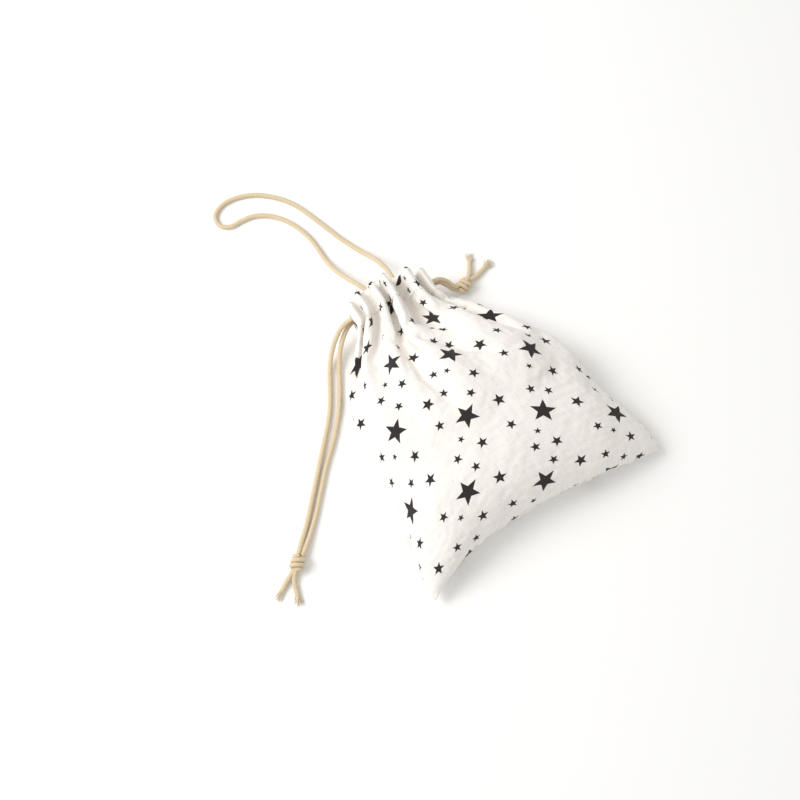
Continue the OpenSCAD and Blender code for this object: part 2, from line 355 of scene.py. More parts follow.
@dataclass(frozen=True)
class WovenCotton:
    """Plain-woven unbleached cotton, with or without its printed stars.

    The yarns are spun and slightly uneven, so the eye sees a matt, warm off-white with
    faint streaks along both yarn directions and a few specks of seed husk. The pigment
    print sits in the yarns, so it is matt and its edges are a little rough.

    Attributes:
        name: The material's name.
        printed: True on the printed face.
        yarn_pitch: Distance between yarns, in mm. Real yarns are about 0.45 mm apart, too
            fine for the picture, so they are drawn about twice as coarse.
        ecru: Colour of the cloth.
        deep_ecru: Colour of its darker streaks.
        husk: Colour of the seed specks.
        ink: Colour of the print.
        worn_ink: Colour of the print where the yarns took less of it.
        layers: The layers of stars.
    """

    name: str
    printed: bool
    yarn_pitch: float = 0.9
    ecru: str = "F6F2ED"
    deep_ecru: str = "EEE9E2"
    husk: str = "B9A78C"
    ink: str = "252122"
    worn_ink: str = "3A3535"
    layers: tuple[StarLayer, ...] = (
        StarLayer(cell=21.8, shift=0.0, radii=(8.6, 4.6, 3.5, 4.0, 3.6), wander=0.46),
        StarLayer(cell=21.8, shift=10.9, radii=(2.5, 0.0, 0.0, 3.4, 0.0), wander=0.12),
    )

    def material(self) -> bpy.types.Material:
        """Builds the material.

        Returns:
            The finished material.
        """
        made = bpy.data.materials.new(self.name)
        made.use_nodes = True
        tree = made.node_tree
        shader = tree.nodes["Principled BSDF"]
        place = add_node(tree, "ShaderNodeUVMap", {"uv_map": CLOTH_MAP}, {}).outputs[0]
        cloth = add_node(
            tree, "ShaderNodeVectorMath", {"operation": "SCALE"}, {0: place, "Scale": 1 / MM}
        ).outputs[0]
        height = self.weave(tree, cloth)
        colour = self.ground(tree, cloth)
        if self.printed:
            colour = self.stars(tree, cloth, colour)
        tree.links.new(colour, shader.inputs["Base Color"])
        bump = add_node(
            tree,
            "ShaderNodeBump",
            {},
            {"Strength": 0.4, "Distance": 0.12 * MM, "Height": height},
        )
        tree.links.new(bump.outputs[0], shader.inputs["Normal"])
        shader.inputs["Roughness"].default_value = 0.9
        shader.inputs["IOR"].default_value = 1.47
        shader.inputs["Specular IOR Level"].default_value = 0.25
        shader.inputs["Sheen Weight"].default_value = 0.12
        shader.inputs["Sheen Roughness"].default_value = 0.5
        return made

    def streaks(
        self, tree: bpy.types.NodeTree, cloth: bpy.types.NodeSocket, across: float, ahead: float
    ) -> bpy.types.NodeSocket:
        """Draws the uneven thickness of the yarns as long thin noise.

        Args:
            tree: The material's nodes.
            cloth: Position on the cloth, in mm.
            across: Cycles per mm from side to side.
            ahead: Cycles per mm along the sack.

        Returns:
            The noise.
        """
        stretched = add_node(
            tree,
            "ShaderNodeVectorMath",
            {"operation": "MULTIPLY"},
            {0: cloth, 1: (across, ahead, 1.0)},
        )
        noise = add_node(
            tree,
            "ShaderNodeTexNoise",
            {"noise_dimensions": "2D"},
            {"Vector": stretched.outputs[0], "Scale": 1.0, "Detail": 2.0, "Roughness": 0.6},
        )
        return noise.outputs[0]

    def weave(self, tree: bpy.types.NodeTree, cloth: bpy.types.NodeSocket) -> bpy.types.NodeSocket:
        """Draws the height of a plain weave, warp over weft and weft over warp in turn.

        Args:
            tree: The material's nodes.
            cloth: Position on the cloth, in mm.

        Returns:
            The height, from 0 to about 1.
        """
        turns = add_node(
            tree,
            "ShaderNodeVectorMath",
            {"operation": "SCALE"},
            {0: cloth, "Scale": math.pi / self.yarn_pitch},
        )
        wave = add_node(
            tree, "ShaderNodeVectorMath", {"operation": "SINE"}, {0: turns.outputs[0]}
        )
        split = add_node(tree, "ShaderNodeSeparateXYZ", {}, {0: wave.outputs[0]})
        over = add_node(
            tree,
            "ShaderNodeMath",
            {"operation": "MULTIPLY"},
            {0: split.outputs[0], 1: split.outputs[1]},
        )
        raised = add_node(
            tree,
            "ShaderNodeMath",
            {"operation": "MULTIPLY_ADD"},
            {0: over.outputs[0], 1: 0.5, 2: 0.5},
        )
        thick = self.streaks(tree, cloth, 0.16, 1.1)
        uneven = add_node(
            tree, "ShaderNodeMath", {"operation": "ADD"}, {0: raised.outputs[0], 1: thick}
        )
        return uneven.outputs[0]

    def ground(self, tree: bpy.types.NodeTree, cloth: bpy.types.NodeSocket) -> bpy.types.NodeSocket:
        """Colours the unprinted cloth.

        Args:
            tree: The material's nodes.
            cloth: Position on the cloth, in mm.

        Returns:
            The colour.
        """
        weft = self.streaks(tree, cloth, 0.07, 0.9)
        warp = self.streaks(tree, cloth, 0.8, 0.05)
        both = add_node(tree, "ShaderNodeMath", {"operation": "MULTIPLY"}, {0: weft, 1: warp})
        share = add_node(
            tree,
            "ShaderNodeMapRange",
            {},
            {"Value": both.outputs[0], "From Min": 0.18, "From Max": 0.42},
        )
        base = add_node(
            tree,
            "ShaderNodeMix",
            {"data_type": "RGBA"},
            {0: share.outputs[0], 6: linear(self.ecru), 7: linear(self.deep_ecru)},
        )
        specks = add_node(
            tree,
            "ShaderNodeTexVoronoi",
            {"voronoi_dimensions": "2D", "feature": "F1"},
            {"Vector": cloth, "Scale": 0.1, "Randomness": 1.0},
        )
        near = add_node(
            tree,
            "ShaderNodeMapRange",
            {},
            {"Value": specks.outputs[0], "From Min": 0.022, "From Max": 0.04, "To Min": 0.5, "To Max": 0.0},
        )
        return add_node(
            tree,
            "ShaderNodeMix",
            {"data_type": "RGBA"},
            {0: near.outputs[0], 6: base.outputs[2], 7: linear(self.husk)},
        ).outputs[2]

    def stars(
        self,
        tree: bpy.types.NodeTree,
        cloth: bpy.types.NodeSocket,
        ground: bpy.types.NodeSocket,
    ) -> bpy.types.NodeSocket:
        """Prints the stars over the cloth.

        Args:
            tree: The material's nodes.
            cloth: Position on the cloth, in mm.
            ground: Colour of the cloth.

        Returns:
            The colour with its stars.
        """
        colour = ground
        mottle = add_node(
            tree,
            "ShaderNodeTexNoise",
            {"noise_dimensions": "2D"},
            {"Vector": cloth, "Scale": 1.3, "Detail": 3.0},
        )
        ink = add_node(
            tree,
            "ShaderNodeMix",
            {"data_type": "RGBA"},
            {0: mottle.outputs[0], 6: linear(self.ink), 7: linear(self.worn_ink)},
        )
        for layer in self.layers:
            mask = self.star_mask(tree, cloth, layer, mottle.outputs[0])
            mix = add_node(
                tree,
                "ShaderNodeMix",
                {"data_type": "RGBA"},
                {0: mask, 6: colour, 7: ink.outputs[2]},
            )
            colour = mix.outputs[2]
        return colour

    def star_mask(
        self,
        tree: bpy.types.NodeTree,
        cloth: bpy.types.NodeSocket,
        layer: StarLayer,
        rough: bpy.types.NodeSocket,
    ) -> bpy.types.NodeSocket:
        """Draws one five-pointed star in each cell, each turned and placed by chance.

        A star's points repeat every fifth of a turn, so the angle is folded into half of
        that, where the star's edge is one straight line.

        Args:
            tree: The material's nodes.
            cloth: Position on the cloth, in mm.
            layer: The layer's sizes.
            rough: Noise that roughens the printed edge.

        Returns:
            1 inside a star and 0 outside.
        """
        half_point = math.pi / 5
        waist = 0.42
        lean = math.atan2(1 - waist * math.cos(half_point), waist * math.sin(half_point))
        classes = len(layer.radii)
        moved = add_node(
            tree,
            "ShaderNodeVectorMath",
            {"operation": "ADD"},
            {0: cloth, 1: (layer.shift, layer.shift, 0.0)},
        )
        cells = add_node(
            tree,
            "ShaderNodeVectorMath",
            {"operation": "SCALE"},
            {0: moved.outputs[0], "Scale": 1 / layer.cell},
        )
        cell = add_node(tree, "ShaderNodeVectorMath", {"operation": "FLOOR"}, {0: cells.outputs[0]})
        chance = add_node(
            tree, "ShaderNodeTexWhiteNoise", {"noise_dimensions": "2D"}, {"Vector": cell.outputs[0]}
        )
        number = add_node(tree, "ShaderNodeSeparateXYZ", {}, {0: cell.outputs[0]})
        order = add_node(
            tree,
            "ShaderNodeMath",
            {"operation": "MULTIPLY_ADD"},
            {0: number.outputs[1], 1: 2.0, 2: number.outputs[0]},
        )
        kind = add_node(
            tree,
            "ShaderNodeMath",
            {"operation": "FLOORED_MODULO"},
            {0: order.outputs[0], 1: float(classes)},
        )
        kind_share = add_node(
            tree,
            "ShaderNodeMath",
            {"operation": "MULTIPLY_ADD"},
            {0: kind.outputs[0], 1: 1 / classes, 2: 0.5 / classes},
        )
        sizes = add_node(tree, "ShaderNodeValToRGB", {}, {0: kind_share.outputs[0]})
        ramp = sizes.color_ramp
        ramp.interpolation = "CONSTANT"
        while len(ramp.elements) < classes:
            ramp.elements.new(0.5)
        for index, radius in enumerate(layer.radii):
            ramp.elements[index].position = index / classes
            ramp.elements[index].color = (*[radius / layer.cell] * 3, 1.0)
        size = add_node(tree, "ShaderNodeSeparateXYZ", {}, {0: sizes.outputs[0]}).outputs[0]
        # A big star stays near the middle of its cell, so that it isn't cut off.
        room = add_node(
            tree,
            "ShaderNodeMapRange",
            {},
            {
                "Value": size,
                "From Min": 0.2,
                "From Max": 0.4,
                "To Min": layer.wander,
                "To Max": 0.15 * layer.wander,
            },
        )
        offset = add_node(
            tree,
            "ShaderNodeVectorMath",
            {"operation": "SUBTRACT"},
            {0: chance.outputs[1], 1: (0.5, 0.5, 0.5)},
        )
        wander = add_node(
            tree,
            "ShaderNodeVectorMath",
            {"operation": "SCALE"},
            {0: offset.outputs[0], "Scale": room.outputs[0]},
        )
        inside = add_node(
            tree,
            "ShaderNodeVectorMath",
            {"operation": "FRACTION"},
            {0: cells.outputs[0]},
        )
        centred = add_node(
            tree,
            "ShaderNodeVectorMath",
            {"operation": "SUBTRACT"},
            {0: inside.outputs[0], 1: (0.5, 0.5, 0.0)},
        )
        local = add_node(
            tree,
            "ShaderNodeVectorMath",
            {"operation": "SUBTRACT"},
            {0: centred.outputs[0], 1: wander.outputs[0]},
        )
        flat = add_node(
            tree,
            "ShaderNodeVectorMath",
            {"operation": "MULTIPLY"},
            {0: local.outputs[0], 1: (1.0, 1.0, 0.0)},
        )
        distance = add_node(
            tree, "ShaderNodeVectorMath", {"operation": "LENGTH"}, {0: flat.outputs[0]}
        ).outputs["Value"]
        axes = add_node(tree, "ShaderNodeSeparateXYZ", {}, {0: flat.outputs[0]})
        angle = add_node(
            tree,
            "ShaderNodeMath",
            {"operation": "ARCTAN2"},
            {0: axes.outputs[1], 1: axes.outputs[0]},
        )
        turned = add_node(
            tree,
            "ShaderNodeMath",
            {"operation": "MULTIPLY_ADD"},
            {0: chance.outputs[0], 1: FULL_TURN, 2: angle.outputs[0]},
        )
        point = add_node(
            tree,
            "ShaderNodeMath",
            {"operation": "FLOORED_MODULO"},
            {0: turned.outputs[0], 1: 2 * half_point},
        )
        folded = add_node(
            tree,
            "ShaderNodeMath",
            {"operation": "SUBTRACT"},
            {0: point.outputs[0], 1: half_point},
        )
        half = add_node(tree, "ShaderNodeMath", {"operation": "ABSOLUTE"}, {0: folded.outputs[0]})
        leaned = add_node(
            tree, "ShaderNodeMath", {"operation": "SUBTRACT"}, {0: half.outputs[0], 1: lean}
        )
        slope = add_node(tree, "ShaderNodeMath", {"operation": "COSINE"}, {0: leaned.outputs[0]})
        reach = add_node(
            tree, "ShaderNodeMath", {"operation": "MULTIPLY"}, {0: distance, 1: slope.outputs[0]}
        )
        edge = add_node(
            tree, "ShaderNodeMath", {"operation": "MULTIPLY"}, {0: size, 1: math.cos(lean)}
        )
        gap = add_node(
            tree,
            "ShaderNodeMath",
            {"operation": "SUBTRACT"},
            {0: reach.outputs[0], 1: edge.outputs[0]},
        )
        roughness = 0.35 / layer.cell
        worn = add_node(
            tree,
            "ShaderNodeMath",
            {"operation": "MULTIPLY_ADD"},
            {0: rough, 1: roughness, 2: gap.outputs[0]},
        )
        blur = 0.12 / layer.cell
        middle = roughness / 2
        mask = add_node(
            tree,
            "ShaderNodeMapRange",
            {},
            {
                "Value": worn.outputs[0],
                "From Min": middle - blur,
                "From Max": middle + blur,
                "To Min": 1.0,
                "To Max": 0.0,
            },
        )
        return mask.outputs[0]


@dataclass(frozen=True)
class BraidedCotton:
    """Soft braided cotton cord, unbleached.

    The eight plaited yarns give the cord a diamond relief, which is in its mesh. The
    material adds the twist of each yarn, and painted shade that darkens the low parts
    of that relief, the gaps between fibres and yarns.

    Attributes:
        name: The material's name.
        cream: Colour of the yarns.
        gap: Painted shade for the low parts of the relief, between fibres and yarns.
        fibre_pitch: Distance between the fibres of a yarn, in mm. Real fibres are about
            0.02 mm apart, too fine for the picture, so they are drawn far coarser.
    """

    name: str = "braided_cotton"
    cream: str = "E6D6BA"
    # Painted shade: this gap colour darkens the low parts of the relief.
    gap: str = "CDB792"
    fibre_pitch: float = 0.5

    def material(self) -> bpy.types.Material:
        """Builds the material.

        Returns:
            The finished material.
        """
        made = bpy.data.materials.new(self.name)
        made.use_nodes = True
        tree = made.node_tree
        shader = tree.nodes["Principled BSDF"]
        place = add_node(tree, "ShaderNodeUVMap", {"uv_map": CLOTH_MAP}, {}).outputs[0]
        cord = add_node(
            tree, "ShaderNodeVectorMath", {"operation": "SCALE"}, {0: place, "Scale": 1 / MM}
        )
        split = add_node(tree, "ShaderNodeSeparateXYZ", {}, {0: cord.outputs[0]})
        twist = add_node(
            tree,
            "ShaderNodeMath",
            {"operation": "MULTIPLY_ADD"},
            {0: split.outputs[1], 1: 0.8, 2: split.outputs[0]},
        )
        turns = add_node(
            tree,
            "ShaderNodeMath",
            {"operation": "MULTIPLY"},
            {0: twist.outputs[0], 1: FULL_TURN / self.fibre_pitch},
        )
        fibres = add_node(tree, "ShaderNodeMath", {"operation": "SINE"}, {0: turns.outputs[0]})
        fuzz = add_node(
            tree,
            "ShaderNodeTexNoise",
            {"noise_dimensions": "2D"},
            {"Vector": cord.outputs[0], "Scale": 1.4, "Detail": 3.0},
        )
        height = add_node(
            tree,
            "ShaderNodeMath",
            {"operation": "MULTIPLY_ADD"},
            {0: fibres.outputs[0], 1: 0.25, 2: fuzz.outputs[0]},
        )
        # Painted shade: where the relief is low, between fibres and yarns, the colour turns to the darker gap
        # colour.
        share = add_node(
            tree,
            "ShaderNodeMapRange",
            {},
            {"Value": height.outputs[0], "From Min": 0.2, "From Max": 0.75},
        )
        colour = add_node(
            tree,
            "ShaderNodeMix",
            {"data_type": "RGBA"},
            {0: share.outputs[0], 6: linear(self.gap), 7: linear(self.cream)},
        )
        bump = add_node(
            tree,
            "ShaderNodeBump",
            {},
            {"Strength": 0.5, "Distance": 0.15 * MM, "Height": height.outputs[0]},
        )
        tree.links.new(colour.outputs[2], shader.inputs["Base Color"])
        tree.links.new(bump.outputs[0], shader.inputs["Normal"])
        shader.inputs["Roughness"].default_value = 0.88
        shader.inputs["IOR"].default_value = 1.47
        shader.inputs["Specular IOR Level"].default_value = 0.25
        shader.inputs["Sheen Weight"].default_value = 0.2
        shader.inputs["Sheen Roughness"].default_value = 0.45
        return made


@dataclass(frozen=True)
class SpunThread:
    """Spun polyester-cotton sewing thread: two twisted plies with a faint lustre.

    Attributes:
        name: The material's name.
        pale: Colour of the plies.
        shade: Painted shade in the grooves between the plies.
        ply_pitch: Length of one twist, in mm.
    """

    name: str = "spun_sewing_thread"
    pale: str = "EFE9DF"
    shade: str = "CFC6B8"
    ply_pitch: float = 0.9

    def material(self) -> bpy.types.Material:
        """Builds the material.

        Returns:
            The finished material.
        """
        made = bpy.data.materials.new(self.name)
        made.use_nodes = True
        tree = made.node_tree
        shader = tree.nodes["Principled BSDF"]
        place = add_node(tree, "ShaderNodeUVMap", {"uv_map": CLOTH_MAP}, {}).outputs[0]
        split = add_node(tree, "ShaderNodeSeparateXYZ", {}, {0: place})
        twist = add_node(
            tree,
            "ShaderNodeMath",
            {"operation": "ADD"},
            {0: split.outputs[0], 1: split.outputs[1]},
        )
        turns = add_node(
            tree,
            "ShaderNodeMath",
            {"operation": "MULTIPLY"},
            {0: twist.outputs[0], 1: FULL_TURN / (self.ply_pitch * MM)},
        )
        plies = add_node(tree, "ShaderNodeMath", {"operation": "SINE"}, {0: turns.outputs[0]})
        # Painted shade: the grooves between the plies take the shade colour, and the crests take the pale
        # one.
        share = add_node(
            tree,
            "ShaderNodeMapRange",
            {},
            {"Value": plies.outputs[0], "From Min": -1.0, "From Max": 0.4},
        )
        colour = add_node(
            tree,
            "ShaderNodeMix",
            {"data_type": "RGBA"},
            {0: share.outputs[0], 6: linear(self.shade), 7: linear(self.pale)},
        )
        bump = add_node(
            tree,
            "ShaderNodeBump",
            {},
            {"Strength": 0.4, "Distance": 0.06 * MM, "Height": plies.outputs[0]},
        )
        tree.links.new(colour.outputs[2], shader.inputs["Base Color"])
        tree.links.new(bump.outputs[0], shader.inputs["Normal"])
        shader.inputs["Roughness"].default_value = 0.6
        shader.inputs["IOR"].default_value = 1.5
        return made


@dataclass(frozen=True)
class MattCard:
    """Matt white card for the floor: an even surface with no gloss.

    Attributes:
        name: The material's name.
        white: Colour of the card.
    """

    name: str = "matt_white_card"
    white: str = "FBFBFA"

    def material(self) -> bpy.types.Material:
        """Builds the material.

        Returns:
            The finished material.
        """
        made = bpy.data.materials.new(self.name)
        made.use_nodes = True
        shader = made.node_tree.nodes["Principled BSDF"]
        shader.inputs["Base Color"].default_value = linear(self.white)
        shader.inputs["Roughness"].default_value = 0.95
        shader.inputs["Specular IOR Level"].default_value = 0.1
        return made


# --------------------------------------------------------------------- studio


@dataclass
class Studio:
    """Camera, lights and floor.

    Attributes:
        azimuth: Camera angle round the sack, in degrees from -Y towards +X.
        elevation: Camera angle over the floor, in degrees.
        distance: From the camera to its aim, in metres.
        aim: The point that it looks at, in metres.
        lens: Focal length, in mm.
    """

    azimuth: float = -32.5
    elevation: float = 75.0
    distance: float = 0.733
    aim: tuple[float, float, float] = (-0.0376, 0.0236, 0.020)
    lens: float = 50.0

    def set_camera(self) -> bpy.types.Object:
        """Makes the scene's camera.

        Returns:
            The camera.
        """
        turn = math.radians(self.azimuth)
        tilt = math.radians(self.elevation)
        back = Vector(
            (math.sin(turn) * math.cos(tilt), -math.cos(turn) * math.cos(tilt), math.sin(tilt))
        )
        camera = bpy.data.objects.new("camera", bpy.data.cameras.new("camera"))
        camera.data.lens = self.lens
        camera.data.clip_start = 0.01
        camera.location = Vector(self.aim) + back * self.distance
        camera.rotation_euler = back.to_track_quat("Z", "Y").to_euler()
        bpy.context.scene.collection.objects.link(camera)
        bpy.context.scene.camera = camera
        log.info("camera: %.1f degrees up, %.2f m away", self.elevation, self.distance)
        return camera

    def add_light(
        self, name: str, place: tuple[float, float, float], size: float, watts: float
    ) -> None:
        """Adds a square soft light that faces the sack.

        Args:
            name: The light's name.
            place: Where it stands, in metres.
            size: Its width, in metres.
            watts: Its power.
        """
        lamp = bpy.data.lights.new(name, "AREA")
        lamp.energy = watts
        lamp.size = size
        light = bpy.data.objects.new(name, lamp)
        light.location = place
        light.rotation_euler = Vector(place).to_track_quat("Z", "Y").to_euler()
        bpy.context.scene.collection.objects.link(light)

    def set_room(self) -> None:
        """Makes the floor, the surrounding light and the window light."""
        scene = bpy.context.scene
        scene.view_settings.view_transform = "Standard"
        world = bpy.data.worlds.new("white_room")
        world.use_nodes = True
        background = world.node_tree.nodes["Background"]
        background.inputs["Color"].default_value = linear("FFFEFC")
        background.inputs["Strength"].default_value = 0.70
        scene.world = world
        self.add_light("window", (-0.75, 0.62, 0.95), 0.7, 11.5)
        half = 3.0
        corners = np.array([[-half, -half, 0], [half, -half, 0], [half, half, 0], [-half, half, 0]])
        floor = mesh_object("floor", corners, [[0, 1, 2, 3]])
        floor.data.materials.append(MattCard().material())
        log.info("studio: floor and lights are in place")


# ---------------------------------------------------------------------- cords


@dataclass
class Cordage:
    """The drawstring cord and the way that each length of it is drawn.

    Attributes:
        diameter: Of the cord, in mm.
        braid_depth: Depth of the plait's relief, in mm.
        plait: Length of one plait, in mm.
        carriers: Yarns that run each way round.
        sides: Flats round the cord.
        step: Distance between its rings, in mm.
    """

    diameter: float = 3.2
    braid_depth: float = 0.16
    plait: float = 2.8
    carriers: int = 4
    sides: int = 20
    step: float = 0.62

    def relief(self, length: float, rings: int, girth: float) -> np.ndarray:
        """Gives the cord's radius round and along it.

        Args:
            length: Of the cord, in mm.
            rings: Rings along it.
            girth: Mean radius, in mm.

        Returns:
            A radius for each ring and side, in metres.
        """
        place = np.linspace(0, length, rings)[:, None] * FULL_TURN / self.plait
        angle = np.arange(self.sides)[None] * FULL_TURN / self.sides * self.carriers
        plaits = np.maximum(np.cos(angle + place), np.cos(angle - place))
        return (girth + self.braid_depth * (plaits - 0.5)) * MM

    def lay(
        self, tubes: Tubes, route: Route | np.ndarray, girth: float | None = None
    ) -> np.ndarray:
        """Lays one length of cord along its route.

        Args:
            tubes: The mesh that it joins.
            route: The points that it passes through, in mm from the bottom seam.
            girth: Mean radius, in mm. The cord's own where it isn't squeezed.

        Returns:
            The path of its centre line, in metres.
        """
        path = curve_through(np.asarray(route, float), self.step)
        reach = self.relief(along(path)[-1], len(path), girth or self.diameter / 2)
        laid = in_frame(path)
        tubes.add(laid, reach)
        return laid

    def fray(self, tubes: Tubes, path: np.ndarray, chance: random.Random) -> None:
        """Adds the loose yarns at a cord's cut end.

        Args:
            tubes: The mesh that they join.
            path: The cord's centre line, in metres.
            chance: Draws their lengths and directions.
        """
        end = path[-1]
        ahead = unit(path[-1] - path[-4])
        beside = unit(np.cross(ahead, [0.0, 0.0, 1.0]))
        over = np.cross(beside, ahead)
        yarns = 64
        for _ in range(yarns):
            turn = chance.uniform(0, FULL_TURN)
            start = math.sqrt(chance.random()) * 1.25
            spread = chance.uniform(0.5, 2.4) * start
            length = chance.uniform(3.5, 9.0)
            curl = chance.uniform(-1.3, 1.3)
            outward = beside * math.cos(turn) + over * math.sin(turn)
            share = np.linspace(0, 1, 7)[:, None]
            strand = (
                end
                + ahead * (share * length - 1.6) * MM
                + outward * (start + spread * share**1.4) * MM
                + beside * curl * share**2 * MM
                - np.array([0.0, 0.0, 1.4]) * share**2 * MM
            )
            strand[:, 2] = np.maximum(strand[:, 2], 0.25 * MM)
            tubes.add(strand, np.linspace(0.21, 0.09, 7) * MM)


@dataclass
class Knot:
    """An overhand knot in both ends of a cord, drawn tight.

    Attributes:
        place: Its middle, in mm from the bottom seam.
        turn: Direction of the tails, in degrees.
        squeezed: Radius of the cord in the knot, in mm.
        wrap_radius: Radius of the wraps' centre lines, in mm.
        wraps: Turns that each end makes.
        pitch: Length of one turn, in mm.
        spread: Distance of the ends from the knot's axis, in mm.
    """

    place: tuple[float, float, float]
    turn: float
    squeezed: float = 1.45
    wrap_radius: float = 3.5
    wraps: float = 1.45
    pitch: float = 5.4
    spread: float = 1.35

    def strand(self, end: int) -> np.ndarray:
        """Gives the line of one end through the knot.

        Args:
            end: 1 or -1, for the two ends of the cord.

        Returns:
            Points in mm from the bottom seam.
        """
        share = np.linspace(0, 1, 64)
        swell = smooth(share / 0.2) * smooth((1 - share) / 0.2)
        radius = self.spread + (self.wrap_radius - self.spread) * swell
        angle = FULL_TURN * self.wraps * (share - 0.5) + math.pi * (1 - end) / 2
        length = self.pitch * self.wraps + 1.6
        local = np.stack(
            [(share - 0.5) * length, radius * np.cos(angle), radius * np.sin(angle)], axis=1
        )
        return self.turned(local)

    def turned(self, local: np.ndarray) -> np.ndarray:
        """Turns points to the knot's direction and moves them to its place.

        Args:
            local: Points in mm, with X along the tails.

        Returns:
            Points in mm from the bottom seam.
        """
        cosine = math.cos(math.radians(self.turn))
        sine = math.sin(math.radians(self.turn))
        spin = np.array([[cosine, -sine, 0], [sine, cosine, 0], [0, 0, 1]])
        return local @ spin.T + np.array(self.place)

    def core(self, end: int) -> np.ndarray:
        """Gives the line of one end where it passes back through the middle of the knot.

        Args:
            end: 1 or -1, for the two ends.

        Returns:
            Points in mm from the bottom seam.
        """
        reach = 4.2
        offset = 1.3 * end
        return self.turned(
            np.array([[-reach, offset, 0.0], [-1.5, offset, 0.3], [1.5, offset, -0.3], [reach, offset, 0]])
        )

    def build(self, name: str, cordage: Cordage) -> bpy.types.Object:
        """Builds the knot.

        Args:
            name: The piece's name.
            cordage: The cord that it is tied in.

        Returns:
            The knot.
        """
        tubes = Tubes(sides=cordage.sides)
        for end in (1, -1):
            cordage.lay(tubes, self.strand(end), self.squeezed)
            cordage.lay(tubes, self.core(end), self.squeezed)
        return tubes.piece(name)


@dataclass
class Drawstrings:
    """Both drawstrings: free strands, knots, tails, the pulled loop and the hidden runs.

    Each route's points are in mm from the bottom seam, as the cord's solids lie.

    Attributes:
        tunnel_reach: Height of the cord in its casing over the neck's middle, in mm.
        squeezed: Radius of the cord inside the casing, in mm.
        cordage: The cord.
        chance: Draws the frayed ends.
        left_front: The left cord's front strand, from the casing to its knot.
        left_back: Its back strand.
        left_tails: Its two ends behind the knot.
        right_front: The right cord's front strand, from the casing to its knot.
        right_back: Its back strand.
        right_tails: Its two ends behind the knot.
        loop: The right cord's other end, pulled out at the mouth.
        left_knot: The left cord's knot.
        right_knot: The right cord's knot.
    """

    tunnel_reach: float = 3.7
    squeezed: float = 1.1
    cordage: Cordage = field(default_factory=Cordage)
    chance: random.Random = field(default_factory=lambda: random.Random(11))
    left_front: Route = field(default_factory=lambda: [
        (-33, 187, 19), (-42, 186.5, 17), (-50, 183, 12), (-57, 177.5, 6.6), (-63, 170.5, 3),
        (-68, 162.5, 1.8), (-73, 154, 1.7), (-78.5, 145.5, 1.7), (-85, 137.5, 1.7),
        (-92, 130, 1.7), (-99, 122.5, 1.7), (-106, 115, 1.7), (-113, 107.5, 1.7),
        (-120, 100, 1.7), (-127, 92.5, 1.7), (-134, 85.5, 2), (-141, 79, 3), (-147, 73, 4.2),
    ])
    left_back: Route = field(default_factory=lambda: [
        (-33, 187, 15), (-41, 184, 13), (-48, 179, 9), (-54, 172.5, 4.8), (-59, 165, 2.4),
        (-63.5, 157, 1.7), (-68.5, 149, 1.7), (-74, 141, 1.7), (-80.5, 133.5, 1.7),
        (-87.5, 126, 1.7), (-95, 119, 1.7), (-102.5, 112, 1.7), (-109.5, 104.5, 1.7),
        (-116.5, 97, 1.7), (-123.5, 89.5, 1.7), (-131, 82.5, 2), (-138.5, 76, 3),
        (-145.5, 70.5, 4.2),
    ])
    left_tails: list[Route] = field(default_factory=lambda: [
        [(-152, 67, 4.6), (-158, 60, 2.4), (-161, 51, 1.7)],
        [(-152, 67, 4.6), (-160, 63.5, 2.4), (-168, 59, 1.7)],
    ])
    right_front: Route = field(default_factory=lambda: [
        (5, 184, 20.5), (10, 183.3, 20.3), (16.5, 181, 19.3), (24, 180, 19), (30.5, 180, 17.4),
        (35.5, 177.5, 13.2), (38.5, 173.5, 9.2), (42, 171, 6.6),
    ])
    right_back: Route = field(default_factory=lambda: [
        (5, 184, 13.5), (10, 183.3, 13.7), (16.5, 181, 14.7), (24, 180, 15), (30.5, 179, 14.6),
        (34.5, 176, 10.8), (37.5, 172.5, 6.8), (41.5, 170, 4.6),
    ])
    right_tails: list[Route] = field(default_factory=lambda: [
        [(49, 171.5, 4.6), (55, 177, 2.4), (60, 184, 1.7)],
        [(49, 171.5, 4.6), (58, 172.5, 2.4), (67, 175, 1.7)],
    ])
    loop: Route = field(default_factory=lambda: [
        (5, 178, 17), (5, 187, 17), (5, 196, 17), (5, 205, 16.6), (4, 214, 13.6),
        (2, 222.5, 9), (-1, 231, 4.8), (-4, 240, 2), (-7.5, 249, 1.7), (-10.5, 258, 1.7),
        (-13.5, 267, 1.7), (-16.5, 276, 1.7), (-20, 285, 1.7), (-25, 293.5, 1.7),
        (-31.5, 301, 1.7), (-39, 307.5, 1.7), (-47.5, 312, 1.7), (-57, 314.5, 1.7),
        (-66, 314, 1.7), (-73, 309.5, 1.7), (-74, 302, 1.7), (-68, 297, 1.7),
        (-59, 296.5, 1.7), (-50, 295, 1.7), (-42, 290.5, 1.7), (-35.5, 284, 1.7),
        (-30.5, 276, 1.7), (-27, 267, 1.7), (-25, 258, 1.7), (-24.5, 248.5, 1.7),
        (-24.5, 239.5, 2.4), (-24, 231, 5.2), (-22.5, 222.5, 9.2), (-20, 214, 13.4),
        (-17, 205.5, 16.4), (-14, 196.5, 17), (-13, 187, 17), (-13, 178, 17),
    ])
    left_knot: Knot = field(default_factory=lambda: Knot((-150, 68.5, 5.1), 221))
    right_knot: Knot = field(default_factory=lambda: Knot((46, 170.5, 5.1), 12))

    def free_cord(
        self,
        name: str,
        route: Route,
        body: Body,
        nodes: tuple[str, ...],
    ) -> bpy.types.Object:
        """Args:
            name: The piece's name.
            route: The points that it passes through.
            body: The body that it rides on.
            nodes: The CAD nodes that it stands for.

        Returns:
            The cord.
        """
        tubes = Tubes(sides=self.cordage.sides)
        path = self.cordage.lay(tubes, route)
        piece = settle_piece(tubes.piece(name), body, nodes)
        return piece

